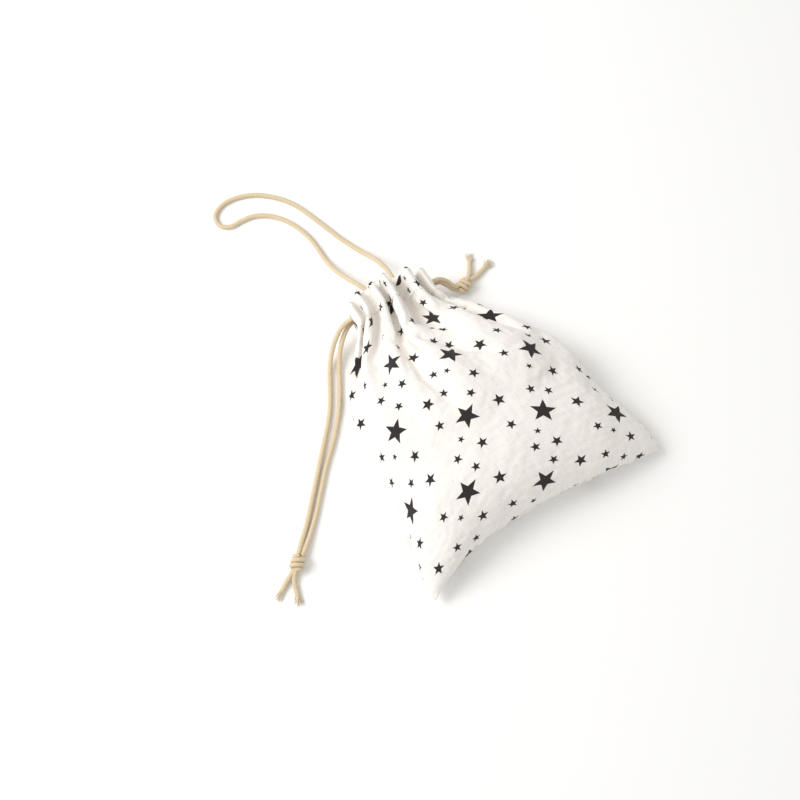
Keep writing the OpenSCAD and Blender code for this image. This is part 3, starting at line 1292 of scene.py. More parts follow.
    def tails(
        self, word: str, routes: list[Route], body: Body, node: str
    ) -> list[bpy.types.Object]:
        """Builds the two frayed ends behind a knot.

        Args:
            word: Left or right.
            routes: The line of each tail.
            body: The body that they ride on.
            node: The CAD node that they stand for.

        Returns:
            The tails and their loose yarns.
        """
        tubes = Tubes(sides=self.cordage.sides)
        yarns = Tubes(sides=5)
        for route in routes:
            path = self.cordage.lay(tubes, route)
            self.cordage.fray(yarns, path, self.chance)
        tails = settle_piece(tubes.piece(f"{word}_tails"), body, (node,))
        loose = settle_piece(yarns.piece(f"{word}_tail_yarns"), body, ())
        return [tails, loose]

    def hidden_runs(self) -> list[bpy.types.Object]:
        """Lays the cord that is hidden in the casing.

        Returns:
            The left cord's run and the right cord's two runs.
        """
        reach = self.tunnel_reach
        middle = NECK_HEIGHT
        high = middle + reach
        bend = [
            (12.3 + reach * math.cos(angle), 187, middle + reach * math.sin(angle))
            for angle in np.linspace(math.pi / 2, -math.pi / 2, 7)
        ]
        front = [(-33, 187, 19), (-28, 187.4, 19.6), (-21, 188.4, high), (-8, 189, high), (4, 188.3, high)]
        back = [(x, y, 2 * middle - z) for x, y, z in reversed(front)]
        tubes = Tubes(sides=self.cordage.sides)
        self.cordage.lay(tubes, [*front, *bend, *back], self.squeezed)
        nodes = ("left_cord_casing_run",)
        runs = [settle_piece(tubes.piece("left_cord_in_casing"), Body.LEFT, nodes)]
        for side, word in ((1, "front"), (-1, "back")):
            height = middle + side * reach
            route = [(-22, 184.5, height), (-8, 184.6, height), (5, 184, height)]
            tubes = Tubes(sides=self.cordage.sides)
            self.cordage.lay(tubes, route, self.squeezed)
            piece = tubes.piece(f"right_cord_{word}_in_casing")
            nodes = (f"right_cord_{word}_run",)
            runs.append(settle_piece(piece, Body.RIGHT, nodes))
        return runs

    def build(self) -> None:
        """Builds and dresses every part of both drawstrings."""
        cotton = BraidedCotton().material()
        # The frayed yarns also get painted shade: their gap colour darkens the low parts of their relief.
        frayed = BraidedCotton("frayed_cotton_yarn", cream="F4EAD6", gap="E4D4B4").material()
        left_knot = settle_piece(
            self.left_knot.build("left_knot", self.cordage), Body.LEFT, ("left_cord_knot",)
        )
        right_knot = settle_piece(
            self.right_knot.build("right_knot", self.cordage), Body.RIGHT, ("right_cord_knot",)
        )
        left_tails, left_yarns = self.tails("left", self.left_tails, Body.LEFT, "left_cord_tails")
        right_tails, right_yarns = self.tails("right", self.right_tails, Body.RIGHT, "right_cord_tails")
        made = [left_knot, right_knot, left_tails, right_tails, *self.hidden_runs()]
        left = [left_knot, left_tails, left_yarns]
        right = [right_knot, right_tails, right_yarns]
        strands = (
            ("left_front_strand", self.left_front, Body.LEFT, "left_cord_front_strand", left),
            ("left_back_strand", self.left_back, Body.LEFT, "left_cord_back_strand", []),
            ("right_front_strand", self.right_front, Body.RIGHT, "right_cord_front_strand", right),
            ("right_back_strand", self.right_back, Body.RIGHT, "right_cord_back_strand", []),
        )
        for name, route, body, node, pieces in strands:
            made.append(self.free_cord(name, route, body, (node,)))
        made.append(
            self.free_cord("pulled_loop", self.loop, Body.LOOP, ("drawstring_loop",))
        )
        for piece in made:
            piece.data.materials.append(cotton)
        for piece in (left_yarns, right_yarns):
            piece.data.materials.append(frayed)


# ---------------------------------------------------------------------- cloth


@dataclass
class SackForm:
    """The smooth outer form of the filled sack, without its pleats.

    Shares run from 0 at the bottom seam to 1 at the mouth, and all sizes are in mm.

    Attributes:
        length: From bottom seam to mouth.
        base_width: Across the bottom corners.
        neck_width: Across the gathered neck.
        height: Of the filled body.
        neck_height: Of the gathered neck.
        neck_z: Height of the neck's middle.
        neck_x: How far the neck leans to the side.
        bow: How far the bottom seam pulls in.
        bow_skew: Moves the bow towards the left corner.
        right_tuck: How far the right shoulder is tucked in.
        front_rise: Length over which the front rises.
        back_rise: Length over which the back falls to the floor.
        end_gap: Half of the opening at each end of the casing.
        width_profile: Extra width over the neck's at each share, from 1 to 0.
        lean_profile: How much of the neck's lean there is at each share.
        crown_profile: Height at each share, as a part of the full height.
        side_profile: Height of the side seams at each share.
        neck_profile: How far each share has turned from body into neck.
        power_profile: How square the section is at each share.
        gap_profile: How much of the end gap is open at each share.
        tuck_profile: How much of the right tuck there is at each share.
    """

    length: float = 196.0
    base_width: float = 182.0
    neck_width: float = 58.0
    height: float = 50.0
    neck_height: float = 23.0
    neck_z: float = NECK_HEIGHT
    neck_x: float = -5.0
    bow: float = 10.0
    bow_skew: float = 0.75
    right_tuck: float = 10.0
    front_rise: float = 48.0
    back_rise: float = 24.0
    end_gap: float = 4.2
    width_profile: Profile = (
        (0, 1), (0.09, 0.975), (0.17, 0.91), (0.27, 0.82), (0.40, 0.76), (0.51, 0.725),
        (0.61, 0.65), (0.70, 0.515), (0.76, 0.40), (0.81, 0.265), (0.87, 0.11), (0.93, 0), (1, 0),
    )
    lean_profile: Profile = ((0, 0), (0.5, 0), (0.7, 1), (1, 1))
    crown_profile: Profile = (
        (0, 0.76), (0.2, 0.92), (0.4, 1), (0.55, 0.98), (0.68, 0.88), (0.78, 0.72), (0.86, 0.59),
    )
    side_profile: Profile = ((0, 3), (0.1, 5), (0.25, 11), (0.45, 16), (0.6, 17), (1, 17))
    neck_profile: Profile = ((0, 0), (0.74, 0), (0.9, 1), (1, 1))
    power_profile: Profile = ((0, 2.1), (0.7, 2.3), (0.9, 3.0), (1, 3.0))
    gap_profile: Profile = ((0, 0), (0.86, 0), (0.92, 1), (1, 1))
    tuck_profile: Profile = ((0, 0), (0.42, 0), (0.62, 0.9), (0.74, 1), (0.88, 0.3), (0.93, 0), (1, 0))

    def half_width(self, share: float) -> float:
        """Half of the width at a share of the length."""
        narrow = self.neck_width / 2
        return narrow + (self.base_width / 2 - narrow) * look_up(share, self.width_profile)

    def section(self, side: Side, share: float, count: int) -> np.ndarray:
        """Draws one panel's section, from the left seam to the right one.

        Args:
            side: The panel.
            share: Share of the length.
            count: Number of points.

        Returns:
            The points.
        """
        across = -np.cos(np.linspace(0, math.pi, count))
        neck = look_up(share, self.neck_profile)
        power = look_up(share, self.power_profile)
        start = self.bow * (1 - across**2) * (1 - self.bow_skew * across)
        depth = (self.length - start) * share
        seam_lift = 11 * (1 - across**2) * max(0, 1 - share / 0.3)
        gap = side.value * self.end_gap * look_up(share, self.gap_profile)
        seam = look_up(share, self.side_profile) + seam_lift + gap
        shape = np.maximum(0, 1 - np.abs(across) ** power) ** (1 / power)
        if side is Side.FRONT:
            body = self.height * look_up(share, self.crown_profile)
            top = body + (self.neck_z + self.neck_height / 2 - body) * neck
            grown = np.sqrt(1 - (1 - np.minimum(1, depth / self.front_rise)) ** 2)
            height = seam + (top - seam) * grown * shape
        else:
            base = (self.neck_z - self.neck_height / 2) * neck
            grown = np.sqrt(1 - (1 - np.minimum(1, depth / self.back_rise)) ** 2)
            height = seam - (seam - base) * grown * np.minimum(1, 1.3 * shape)
        # The drawn mouth isn't square: its right end is pulled down the most.
        pulled = neck * (7.5 * smooth((across - 0.1) / 0.9) + 3.0 * smooth((-across - 0.5) / 0.5))
        middle = self.neck_x * look_up(share, self.lean_profile)
        tuck = self.right_tuck * look_up(share, self.tuck_profile) * smooth((across + 0.6) / 1.6)
        sideways = middle + self.half_width(share) * across - tuck
        return np.stack([sideways, start + depth - pulled, height], axis=1)


@dataclass
class PleatedRow:
    """One row of gathered cloth: its points, and how they lie over the smooth form.

    Attributes:
        points: Points of the cloth.
        base: The same points on the smooth form.
        outward: Direction away from the middle of the sack at each.
        height: Height of the pleats over the form at each.
    """

    points: np.ndarray
    base: np.ndarray
    outward: np.ndarray
    height: np.ndarray


@dataclass
class Gathers:
    """Pleats that take up the cloth's whole width wherever the sack is narrower.

    The cloth winds from side to side like a river: its direction swings evenly along its
    own length, so its width is kept at every row.

    Attributes:
        form: The smooth form.
        cut_width: Width of the cloth, in mm.
        front_pleats: Number of pleats across the front.
        back_pleats: Number of pleats across the back, which are pressed flatter.
        front_stand: How far the front's pleats stand out round the cords, in mm.
        back_stand: The same for the back.
        samples: Steps in each cell along which the cloth's direction is added up.
    """

    form: SackForm
    cut_width: float = 188.0
    front_pleats: float = 5.5
    back_pleats: float = 8.0
    front_stand: float = 2.6
    back_stand: float = 0.8
    samples: int = 6

    def swing(self, side: Side, share: np.ndarray) -> np.ndarray:
        """Gives the cloth's direction, without its scale, across the cloth.

        Args:
            side: The panel.
            share: Share of the cloth's width.

        Returns:
            The swing at each share, faded out at the seams.
        """
        pleats = self.front_pleats if side is Side.FRONT else self.back_pleats
        early = 0.7 if side is Side.FRONT else 2.0
        late = 1.9 if side is Side.FRONT else 0.4
        # Pleats are narrower towards the left end of the casing.
        order = share + 0.13 * np.sin(math.pi * share)
        phase = (
            FULL_TURN * pleats * order
            + 0.60 * np.sin(FULL_TURN * share + early)
            + 0.40 * np.sin(2 * FULL_TURN * share + late)
        )
        strength = (
            1
            + 0.24 * np.sin(2.3 * FULL_TURN * share + early + 0.3)
            + 0.14 * np.sin(4.1 * FULL_TURN * share + 3 * side.value)
        )
        fade = np.minimum(1, np.minimum(share, 1 - share) * 14)
        return strength * np.sin(phase) * fade

    def row(self, side: Side, share: float, columns: int) -> PleatedRow:
        """Gathers one row of a panel onto the form.

        Args:
            side: The panel.
            share: Share of the sack's length.
            columns: Number of cells across the panel.

        Returns:
            The row.
        """
        fine = columns * self.samples
        section = self.form.section(side, share, 161)
        place = along(section)
        whole = place[-1]
        wanted = min(0.999, whole / self.cut_width)
        across = np.linspace(0, 1, fine + 1)
        swing = self.swing(side, across)
        low, high = 0.0, 2.4
        for _ in range(30):
            scale = (low + high) / 2
            if np.mean(np.cos(scale * swing)) > wanted:
                low = scale
            else:
                high = scale
        direction = np.clip(scale * swing, -1.45, 1.45)
        step = (direction[1:] + direction[:-1]) / 2
        forward = np.concatenate([[0], np.cumsum(np.cos(step))])
        forward = forward / forward[-1]
        height = np.concatenate([[0], np.cumsum(np.sin(step))]) * self.cut_width / fine
        height = height - across * height[-1]
        window = columns * 3
        padded = np.pad(height, (window // 2, window - window // 2), mode="edge")
        trend = np.convolve(padded, np.ones(window + 1) / (window + 1), mode="valid")
        inside = np.minimum(1, np.minimum(across, 1 - across) * 12)
        stand = self.front_stand if side is Side.FRONT else self.back_stand
        height = (height - trend + stand * look_up(share, self.form.neck_profile)) * inside
        picked = np.arange(columns + 1) * self.samples
        spots = forward[picked] * whole
        base = np.stack([np.interp(spots, place, section[:, k]) for k in range(3)], axis=1)
        after = np.stack([np.interp(spots + 1, place, section[:, k]) for k in (0, 2)], axis=1)
        before = np.stack([np.interp(spots - 1, place, section[:, k]) for k in (0, 2)], axis=1)
        tangent = unit(after - before)
        outward = np.stack([-tangent[:, 1], np.zeros(columns + 1), tangent[:, 0]], axis=1)
        outward = outward * side.value
        points = base + outward * height[picked][:, None]
        return PleatedRow(points, base, outward, height[picked])


@dataclass
class CottonDrape:
    """Cloth simulation of the filled sack, run to rest on the floor.

    Attributes:
        scale: The cloth is simulated this many times larger, where the solver is steadier.
        frames: Steps to rest.
        pressure: Push of the filling.
        gravity: Share of gravity that acts.
    """

    scale: float = 10.0
    frames: int = 30
    pressure: float = 0.36
    gravity: float = 0.4

    def settle(
        self, points: np.ndarray, flat: np.ndarray, faces: list, held: np.ndarray
    ) -> np.ndarray:
        """Lets the cloth come to rest.

        Args:
            points: Start shape, in metres.
            flat: The same points on the cut cloth, in metres.
            faces: Faces of the closed cloth.
            held: Numbers of the points that the drawn cords hold.

        Returns:
            The settled points, in metres.
        """
        cloth = mesh_object("cloth_at_start", points * self.scale, faces)
        cloth.shape_key_add(name="start")
        cut = cloth.shape_key_add(name="cut")
        cut.data.foreach_set("co", (flat * self.scale).ravel())
        cut.value = 0
        group = cloth.vertex_groups.new(name="held")
        group.add(held.tolist(), 1.0, "REPLACE")
        modifier = cloth.modifiers.new("cotton", "CLOTH")
        settings = modifier.settings
        settings.quality = 6
        settings.mass = 0.02
        settings.tension_stiffness = 20
        settings.compression_stiffness = 20
        settings.shear_stiffness = 8
        settings.bending_stiffness = 0.2
        settings.tension_damping = 5
        settings.compression_damping = 5
        settings.shear_damping = 5
        settings.air_damping = 3
        settings.vertex_group_mass = group.name
        settings.rest_shape_key = cut
        settings.use_pressure = True
        settings.uniform_pressure_force = self.pressure
        settings.effector_weights.gravity = self.gravity
        modifier.collision_settings.distance_min = 0.006
        modifier.point_cache.frame_end = self.frames
        half = self.scale
        corners = np.array([[-half, -half, 0], [half, -half, 0], [half, half, 0], [-half, half, 0]])
        ground = mesh_object("ground", corners, [[0, 1, 2, 3]])
        ground.modifiers.new("ground", "COLLISION")
        ground.collision.thickness_outer = 0.004
        scene = bpy.context.scene
        for step in range(1, self.frames + 1):
            scene.frame_set(step)
        shown = cloth.evaluated_get(bpy.context.evaluated_depsgraph_get())
        rest = np.empty(len(points) * 3)
        shown.data.vertices.foreach_get("co", rest)
        for piece in (cloth, ground):
            bpy.data.objects.remove(piece)
        scene.frame_set(1)
        return rest.reshape(-1, 3) / self.scale


@dataclass
class SackCloth:
    """The two panels with their casing, seams and sewing.

    Attributes:
        form: The smooth form.
        cut_width: Width of each panel, in mm.
        cut_length: Length of each panel from bottom seam to the fold at the mouth, in mm.
        columns: Cells across a panel.
        rows: Cells along it.
        wall: Thickness of the cloth, in mm.
        casing_depth: Depth of the casing, in mm.
        tunnel_height: Height of the turned-in layer over the neck's middle, in mm.
        tunnel_middle: Middle of that layer from side to side, in mm.
        tunnel_share: Its width as a share of the neck's.
        foot_ease: Extra length of cloth at the bottom in the drape, most towards the right, in mm.
        open_from: Share of the cut length where the side seams end.
        fold_start: Where the front's deep fold starts on the cloth, in mm.
        fold_end: Where it ends.
        fold_depth: Depth of its valley, in mm.
        fold_valley: Half width of the valley.
        fold_ridge: Half width of the ridge beside it.
        allowance: Width of the seam allowance inside, in mm.
        thread: Radius of the sewing thread, in mm.
        floor_gap: Least height of the cloth over the floor, in mm.
        grids: Points of each panel, in mm from the bottom seam.
        row_shares: Share of the form's length at each row of the panels.
    """

    form: SackForm = field(default_factory=SackForm)
    cut_width: float = 188.0
    cut_length: float = 214.0
    columns: int = 64
    rows: int = 72
    wall: float = 0.6
    casing_depth: float = 18.0
    tunnel_height: float = 1.8
    tunnel_middle: float = -7.75
    tunnel_share: float = 0.66
    foot_ease: float = 9.0
    open_from: float = 0.885
    fold_start: tuple[float, float] = (91.0, 172.0)
    fold_end: tuple[float, float] = (134.0, 106.0)
    fold_depth: float = 2.9
    fold_valley: float = 4.6
    fold_ridge: float = 7.0
    allowance: float = 8.0
    thread: float = 0.24
    floor_gap: float = 0.15
    grids: dict = field(default_factory=dict)
    row_shares: np.ndarray | None = None

    @property
    def casing_row(self) -> int:
        """The row where the casing is sewn down."""
        return round(self.rows * (1 - self.casing_depth / self.cut_length))

    @property
    def open_row(self) -> int:
        """The last row where the side seams are closed."""
        return round(self.rows * self.open_from)

    def start_grids(self) -> None:
        """Lays both panels on the pleated form, with rows evenly spaced on the cloth."""
        gathers = Gathers(self.form, self.cut_width)
        shares = np.linspace(0, 1, 201)
        quarter = np.array([self.form.section(Side.FRONT, s, 5)[3] for s in shares])
        place = along(quarter)
        even = np.linspace(0, place[-1], self.rows + 1)
        self.row_shares = np.interp(even, place, shares)
        for side in Side:
            lines = [gathers.row(side, s, self.columns).points for s in self.row_shares]
            self.grids[side] = np.stack(lines)
        for row in range(self.open_row + 1):
            for column in (0, self.columns):
                joined = (self.grids[Side.FRONT][row, column] + self.grids[Side.BACK][row, column]) / 2
                for side in Side:
                    self.grids[side][row, column] = joined

    def settle(self, drape: CottonDrape) -> None:
        """Runs the drape on both panels sewn together and keeps its result.

        Args:
            drape: The simulation.
        """
        wide = self.columns + 1
        widest = 0.7
        fall = 0.3
        reach = 0.3
        number = {side: np.full((self.rows + 1, wide), -1) for side in Side}
        points: list[np.ndarray] = []
        flat: list[tuple[float, float, float]] = []
        for side in Side:
            for row in range(self.rows + 1):
                for column in range(wide):
                    sewn = row == 0 or (column in (0, self.columns) and row <= self.open_row)
                    if sewn and side is Side.BACK:
                        number[side][row, column] = number[Side.FRONT][row, column]
                        continue
                    number[side][row, column] = len(points)
                    points.append(self.grids[side][row, column])
                    across = column / self.columns
                    ahead = row / self.rows
                    ease = self.foot_ease * float(smooth(across / widest) * smooth((1 - across) / fall))
                    ease = ease * float(smooth(1 - ahead / reach))
                    flat.append((across * self.cut_width, ahead * self.cut_length - ease, 0.0))
        faces = []
        for side in Side:
            local = grid_faces(self.rows + 1, wide, side is Side.BACK)
            faces += number[side].ravel()[local].tolist()
        held = np.unique(np.concatenate([number[side][self.casing_row :].ravel() for side in Side]))
        settled = drape.settle(in_frame(np.array(points)), np.array(flat) * MM, faces, held)
        for side in Side:
            self.grids[side] = settled[number[side]] / MM - SEAM_TO_FRAME

    def refine(self, grid: np.ndarray) -> np.ndarray:
        """Puts a smooth point halfway between the grid's points, both ways.

        Args:
            grid: The grid.

        Returns:
            The grid at twice the number of cells.
        """
        for axis in (0, 1):
            line = np.moveaxis(grid, axis, 0)
            before = np.concatenate([2 * line[:1] - line[1:2], line, 2 * line[-1:] - line[-2:-1]])
            middle = (9 * (before[1:-2] + before[2:-1]) - before[:-3] - before[3:]) / 16
            finer = np.empty((2 * len(line) - 1, *line.shape[1:]))
            finer[0::2] = line
            finer[1::2] = middle
            grid = np.moveaxis(finer, 0, axis)
        return grid

    def outward(self, side: Side, grid: np.ndarray) -> np.ndarray:
        """Gives the direction away from the sack's inside at each point of a panel."""
        normal = np.cross(np.gradient(grid, axis=1), np.gradient(grid, axis=0))
        return unit(normal) * side.value

    def deep_fold(self, x: np.ndarray, y: np.ndarray) -> np.ndarray:
        """Gives the front's one deep fold, a valley beside a broad ridge.

        Args:
            x: Place across the cloth, in mm.
            y: Place along it, in mm.

        Returns:
            How far each point is moved outward, in mm.
        """
        run = (self.fold_end[0] - self.fold_start[0], self.fold_end[1] - self.fold_start[1])
        length = math.hypot(*run)
        over = x - self.fold_start[0]
        up = y - self.fold_start[1]
        ahead = (over * run[0] + up * run[1]) / length
        beside = (up * run[0] - over * run[1]) / length
        ridge_offset = 1.6
        ridge_share = 0.7
        fade_in = 18.0
        fade_out = 30.0
        valley = np.exp(-((beside / self.fold_valley) ** 2))
        ridge = np.exp(-((beside / self.fold_ridge - ridge_offset) ** 2))
        fade = smooth(ahead / fade_in) * smooth((length - ahead) / fade_out)
        return self.fold_depth * fade * (ridge_share * ridge - valley)

    def crumple(self, side: Side, grid: np.ndarray) -> np.ndarray:
        """Adds seam puckers, small creases and the front's deep fold.

        Args:
            side: The panel.
            grid: The refined panel.

        Returns:
            The creased panel.
        """
        long, wide = grid.shape[:2]
        y = np.linspace(0, self.cut_length, long)[:, None]
        x = np.linspace(0, self.cut_width, wide)[None]
        edge = np.minimum(x, self.cut_width - x)
        seed = 3.0 * side.value
        side_pucker = np.exp(-edge / 5.0) * np.sin(y * FULL_TURN / 8.5 + 1.4 * np.sin(y / 11.0 + seed))
        foot_pucker = np.exp(-y / 5.0) * np.sin(x * FULL_TURN / 9.5 + 1.6 * np.sin(x / 13.0 + seed))
        seamed = smooth(edge / 2.0) * smooth(y / 2.0)
        pucker_height = 0.55
        crease_height = 0.42
        fine_height = 0.10
        puckers = pucker_height * (side_pucker + foot_pucker) * seamed
        soft = (
            np.sin(x / 9.1 + 1.3 * np.sin(y / 17.0 + seed))
            * np.sin(y / 12.3 + 1.1 * np.sin(x / 14.7 + 2 * seed))
        )
        fine = np.sin(x / 3.7 + 2.1 * np.sin(y / 8.3 - seed)) * np.sin(y / 5.9 + 1.7 * np.sin(x / 6.1))
        # The neck is held by its pleats, so the soft creases fade out there.
        free = smooth((self.cut_length - self.casing_depth - y) / 45.0) * smooth(edge / 16.0)
        free = free * smooth(y / 14.0)
        height = puckers + (crease_height * soft + fine_height * fine) * free
        if side is Side.FRONT:
            height = height + self.deep_fold(x, y)
        return grid + self.outward(side, grid) * height[..., None]

    def cloth_map(self, long: int, wide: int, side: Side, start: float, end: float) -> np.ndarray:
        """Gives each point's place on the printed cloth.

        Args:
            long: Points along the piece.
            wide: Points across it.
            side: The panel. Each is cut from another place of the print.
            start: Place of the first row along the cut, in mm.
            end: Place of the last row, in mm.

        Returns:
            Two coordinates for each point, in metres.
        """
        shift = (0.083, 0.011) if side is Side.FRONT else (1.391, 0.637)
        x = np.linspace(0, self.cut_width * MM, wide) * side.value
        y = np.linspace(start, end, long) * MM
        across, ahead = np.meshgrid(x, y)
        return np.stack([across + shift[0], ahead + shift[1]], axis=-1)

    def sheet_piece(
        self, name: str, grid: np.ndarray, cloth_map: np.ndarray, flip: bool, finishes: list
    ) -> bpy.types.Object:
        """Turns a grid into cloth with its real thickness.

        Args:
            name: The piece's name.
            grid: Points of its printed face, in mm from the bottom seam.
            cloth_map: Place of each point on the cloth.
            flip: True to turn the printed face over.
            finishes: The printed face's material, then the plain face's.

        Returns:
            The piece.
        """
        long, wide = grid.shape[:2]
        faces = grid_faces(long, wide, flip)
        corner_map = cloth_map.reshape(-1, 2)[faces.ravel()]
        piece = mesh_object(name, in_frame(grid.reshape(-1, 3)), faces.tolist(), corner_map)
        for finish in finishes:
            piece.data.materials.append(finish)
        solid = piece.modifiers.new("wall", "SOLIDIFY")
        solid.thickness = self.wall * MM
        solid.offset = -1
        solid.material_offset = 1
        solid.use_rim = True
        self.apply(piece)
        return piece

    def apply(self, piece: bpy.types.Object) -> None:
        """Keeps the result of a piece's modifiers as its mesh.

        Args:
            piece: The piece.
        """
        shown = piece.evaluated_get(bpy.context.evaluated_depsgraph_get())
        mesh = bpy.data.meshes.new_from_object(shown)
        piece.modifiers.clear()
        piece.data = mesh
        mesh.name = piece.name

    def casing(self, side: Side, finishes: list) -> bpy.types.Object:
        """Builds the hem turned in at the mouth, which leaves a tunnel for the cords.

        Args:
            side: The panel.
            finishes: The printed face's material, then the plain face's.

        Returns:
            The casing.
        """
        gathers = Gathers(self.form, self.cut_width)
        last = self.rows
        lines = []
        stages = 18
        inset = 2
        closing_from = 12
        closing_over = 7
        for stage in range(stages + 1):
            depth = stage / stages
            share = np.interp(
                last - depth * (last - self.casing_row), np.arange(last + 1), self.row_shares
            )
            row = gathers.row(side, float(share), self.columns)
            under = 0.2 if stage == 0 else 2 * self.wall + 0.1
            outer = row.points - row.outward * under
            across = row.base[:, 0] - self.form.neck_x
            closing = smooth((np.abs(across) * self.tunnel_share - closing_from) / closing_over)
            inner = row.base.copy()
            inner[:, 0] = self.tunnel_middle + across * self.tunnel_share
            inner[:, 2] = self.form.neck_z + side.value * self.tunnel_height * (1 - 0.7 * closing)
            open_share = float(smooth(depth / 0.26) * smooth((1 - depth) / 0.2))
            line = outer + (inner - outer) * open_share
            line[:, 1] += 0.8 * math.exp(-stage)
            line[:, 2] = np.maximum(line[:, 2], self.floor_gap + 2 * self.wall)
            lines.append(line[inset : self.columns + 1 - inset])
        grid = self.refine(np.stack(lines))
        place = self.cloth_map(
            grid.shape[0], grid.shape[1], side, self.cut_length, self.cut_length + self.casing_depth
        )
        name = f"{side.name.lower()}_casing"
        flip = side is Side.FRONT
        piece = self.sheet_piece(f"{name}_hem", grid, place, flip, finishes)
        return settle_piece(piece, Body.SACK, (name,))

    def stitching(self, side: Side, grid: np.ndarray) -> bpy.types.Object:
        """Sews the row of stitches at the foot of the casing.

        Args:
            side: The panel.
            grid: The finished panel.

        Returns:
            The stitches.
        """
        row = 2 * self.casing_row
        normal = self.outward(side, grid)[row]
        line = grid[row]
        place = along(line)
        pitch = 3.1
        cover = 0.74
        tubes = Tubes(sides=6)
        inset = 4.0
        count = int((place[-1] - 2 * inset) / pitch)
        for stitch in range(count):
            start = inset + stitch * pitch
            spots = start + np.linspace(0, cover * pitch, 6)
            middle = np.stack([np.interp(spots, place, line[:, k]) for k in range(3)], axis=1)
            up = unit(np.stack([np.interp(spots, place, normal[:, k]) for k in range(3)], axis=1))
            arch = np.array([-0.3, 0.12, 0.2, 0.2, 0.12, -0.3])[:, None]
            stitch_path = middle + up * arch
            stitch_path[:, 2] = np.maximum(stitch_path[:, 2], self.thread)
            tubes.add(in_frame(stitch_path), self.thread * MM)
        name = f"{side.name.lower()}_casing_stitching"
        return settle_piece(tubes.piece(f"{name}_thread"), Body.SACK, (name,))

    def bar_tack(self, word: str, column: int) -> bpy.types.Object:
        """Sews the dense stitches that end a side seam.

        Args:
            word: Left or right.
            column: The seam's column in the refined panels.

        Returns:
            The tack.
        """
        inward = 1 if column == 0 else -1
        row = 2 * self.open_row - 2
        tubes = Tubes(sides=6)
        threads = 12
        tack_rows = 1.5
        sunk = 0.05
        raised = 0.35
        for thread in range(threads):
            share = thread / (threads - 1) * tack_rows
            base = row + int(share)
            part = share - int(share)
            path = []
            for side, offsets in ((Side.FRONT, (2, 1, 0)), (Side.BACK, (1, 2))):
                grid = self.grids[side]
                normal = self.outward(side, grid)
                for offset in offsets:
                    at = column + inward * offset
                    spot = grid[base, at] * (1 - part) + grid[base + 1, at] * part
                    path.append(spot + normal[base, at] * (sunk if offset == 2 else raised))
            line = curve_through(np.array(path), 0.4)
            tubes.add(in_frame(line), self.thread * MM)
        name = f"{word}_bar_tack"
        return settle_piece(tubes.piece(f"{name}_thread"), Body.SACK, (name,))

    def allowance_piece(
        self,
        word: str,
        node: str,
        edge: np.ndarray,
        inward: np.ndarray,
        finishes: list,
    ) -> list[bpy.types.Object]:
        """Builds a seam allowance inside the sack and the overlock along its raw edge.

        Args:
            word: The seam's name.
            node: The CAD node of the allowance.
            edge: Points along the seam.
            inward: Direction into the sack at each.
            finishes: The plain face's material, twice.

        Returns:
            The allowance and its overlock thread.
        """
        steps = 6
        start = 0.6
        strip = np.stack(
            [edge + inward * (start + (self.allowance - start) * k / steps) for k in range(steps + 1)]
        )
        place = np.stack(
            [
                np.broadcast_to(along(edge) * MM, strip.shape[:2]),
                np.broadcast_to((np.arange(steps + 1) * MM)[:, None], strip.shape[:2]),
            ],
            axis=-1,
        )
        allowance = self.sheet_piece(f"{word}_allowance", strip, place, False, finishes)
        settle_piece(allowance, Body.SACK, (node,))
        pitch = 3.0
        length = along(edge)
        count = int(length[-1] / pitch)
        normal = unit(np.cross(np.gradient(edge, axis=0), inward))
        tubes = Tubes(sides=5)
        for stitch in range(count):
            spots = stitch * pitch + np.array([0.0, 0.4, 1.5, 2.6, 3.0])
            base, into, up = (
                np.stack([np.interp(spots, length, part[:, k]) for k in range(3)], axis=1)
                for part in (edge, inward, normal)
            )
            reach = self.allowance + np.array([-2.6, -1.0, 0.35, -1.0, -2.6])[:, None]
            height = np.array([0.9, 0.9, 0.0, -0.9, -0.9])[:, None] * 0.75
            tubes.add(in_frame(base + into * reach + up * height), self.thread * MM)
        overlock = tubes.piece(f"{word}_overlock_thread")
        settle_piece(overlock, Body.SACK, (f"{word}_overlock",))
        return [allowance, overlock]

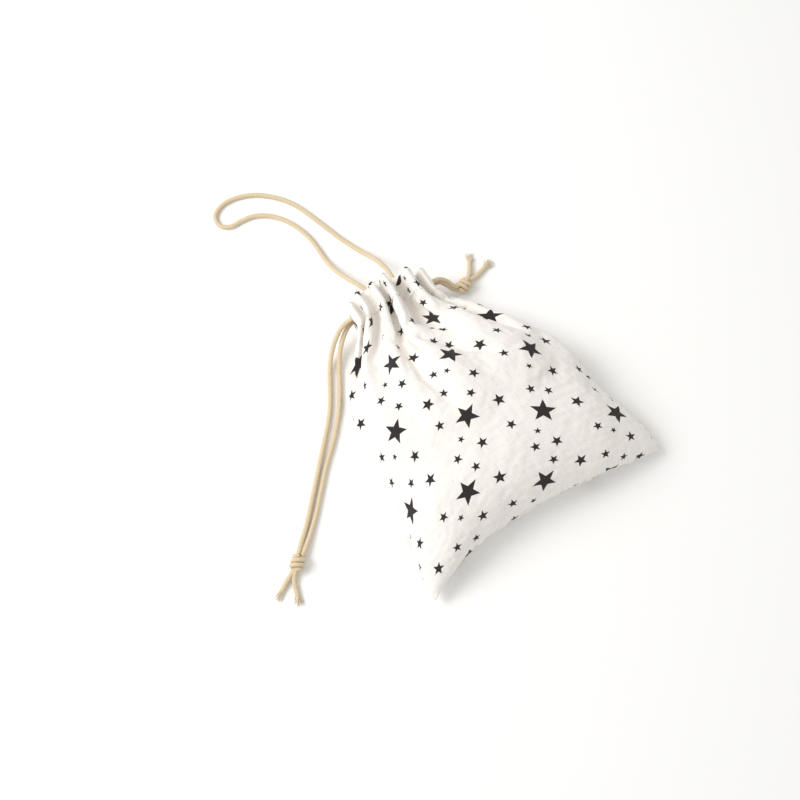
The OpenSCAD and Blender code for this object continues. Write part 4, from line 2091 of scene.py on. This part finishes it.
    def allowances(self, finishes: list) -> list[bpy.types.Object]:
        """Builds the three seam allowances inside the sack.

        Args:
            finishes: The plain face's material, twice.

        Returns:
            The allowances and their overlock threads.
        """
        front = self.grids[Side.FRONT]
        back = self.grids[Side.BACK]
        pieces = []
        wide = front.shape[1] - 1
        top = 2 * self.open_row - 6
        rows = np.arange(26, top, 3)
        for word, column, beside in (("left", 0, 7), ("right", wide, wide - 7)):
            edge = front[rows, column]
            inward = unit((front[rows, beside] + back[rows, beside]) / 2 - edge)
            pieces += self.allowance_piece(word, f"{word}_side_seam", edge, inward, finishes)
        columns = np.arange(12, wide - 11, 3)
        edge = front[0, columns]
        inward = unit((front[7, columns] + back[7, columns]) / 2 - edge)
        pieces += self.allowance_piece("bottom", "bottom_seam", edge, inward, finishes)
        return pieces

    def build(self, drape: CottonDrape) -> None:
        """Builds and dresses the cloth and its sewing.

        Args:
            drape: The simulation.
        """
        self.start_grids()
        self.settle(drape)
        printed = WovenCotton("woven_cotton_printed", True).material()
        plain = WovenCotton("woven_cotton_wrong_side", False).material()
        thread = SpunThread().material()
        for side in Side:
            grid = self.crumple(side, self.refine(self.grids[side]))
            grid[..., 2] = np.maximum(grid[..., 2], self.floor_gap)
            self.grids[side] = grid
        sewn = {side: [self.casing(side, [printed, plain])] for side in Side}
        threads = []
        for side in Side:
            stitches = self.stitching(side, self.grids[side])
            sewn[side].append(stitches)
            threads.append(stitches)
        for word, column in (("left", 0), ("right", 2 * self.columns)):
            tack = self.bar_tack(word, column)
            sewn[Side.FRONT].append(tack)
            threads.append(tack)
        for piece in self.allowances([plain, plain]):
            sewn[Side.BACK].append(piece)
            if piece.name.endswith("_thread"):
                threads.append(piece)
        for piece in threads:
            piece.data.materials.append(thread)
        for side in Side:
            grid = self.grids[side]
            name = f"{side.name.lower()}_panel"
            place = self.cloth_map(grid.shape[0], grid.shape[1], side, 0, self.cut_length)
            piece = self.sheet_piece(f"{name}_cloth", grid, place, side is Side.BACK, [printed, plain])
            settle_piece(piece, Body.SACK, (name,))


def main() -> None:
    """Builds the studio, the cords and the cloth in order."""
    logging.basicConfig(level=logging.INFO, format="%(name)s: %(message)s")
    studio = Studio()
    studio.set_camera()
    Drawstrings().build()
    SackCloth().build(CottonDrape())
    studio.set_room()


if __name__ == "__main__":
    main()
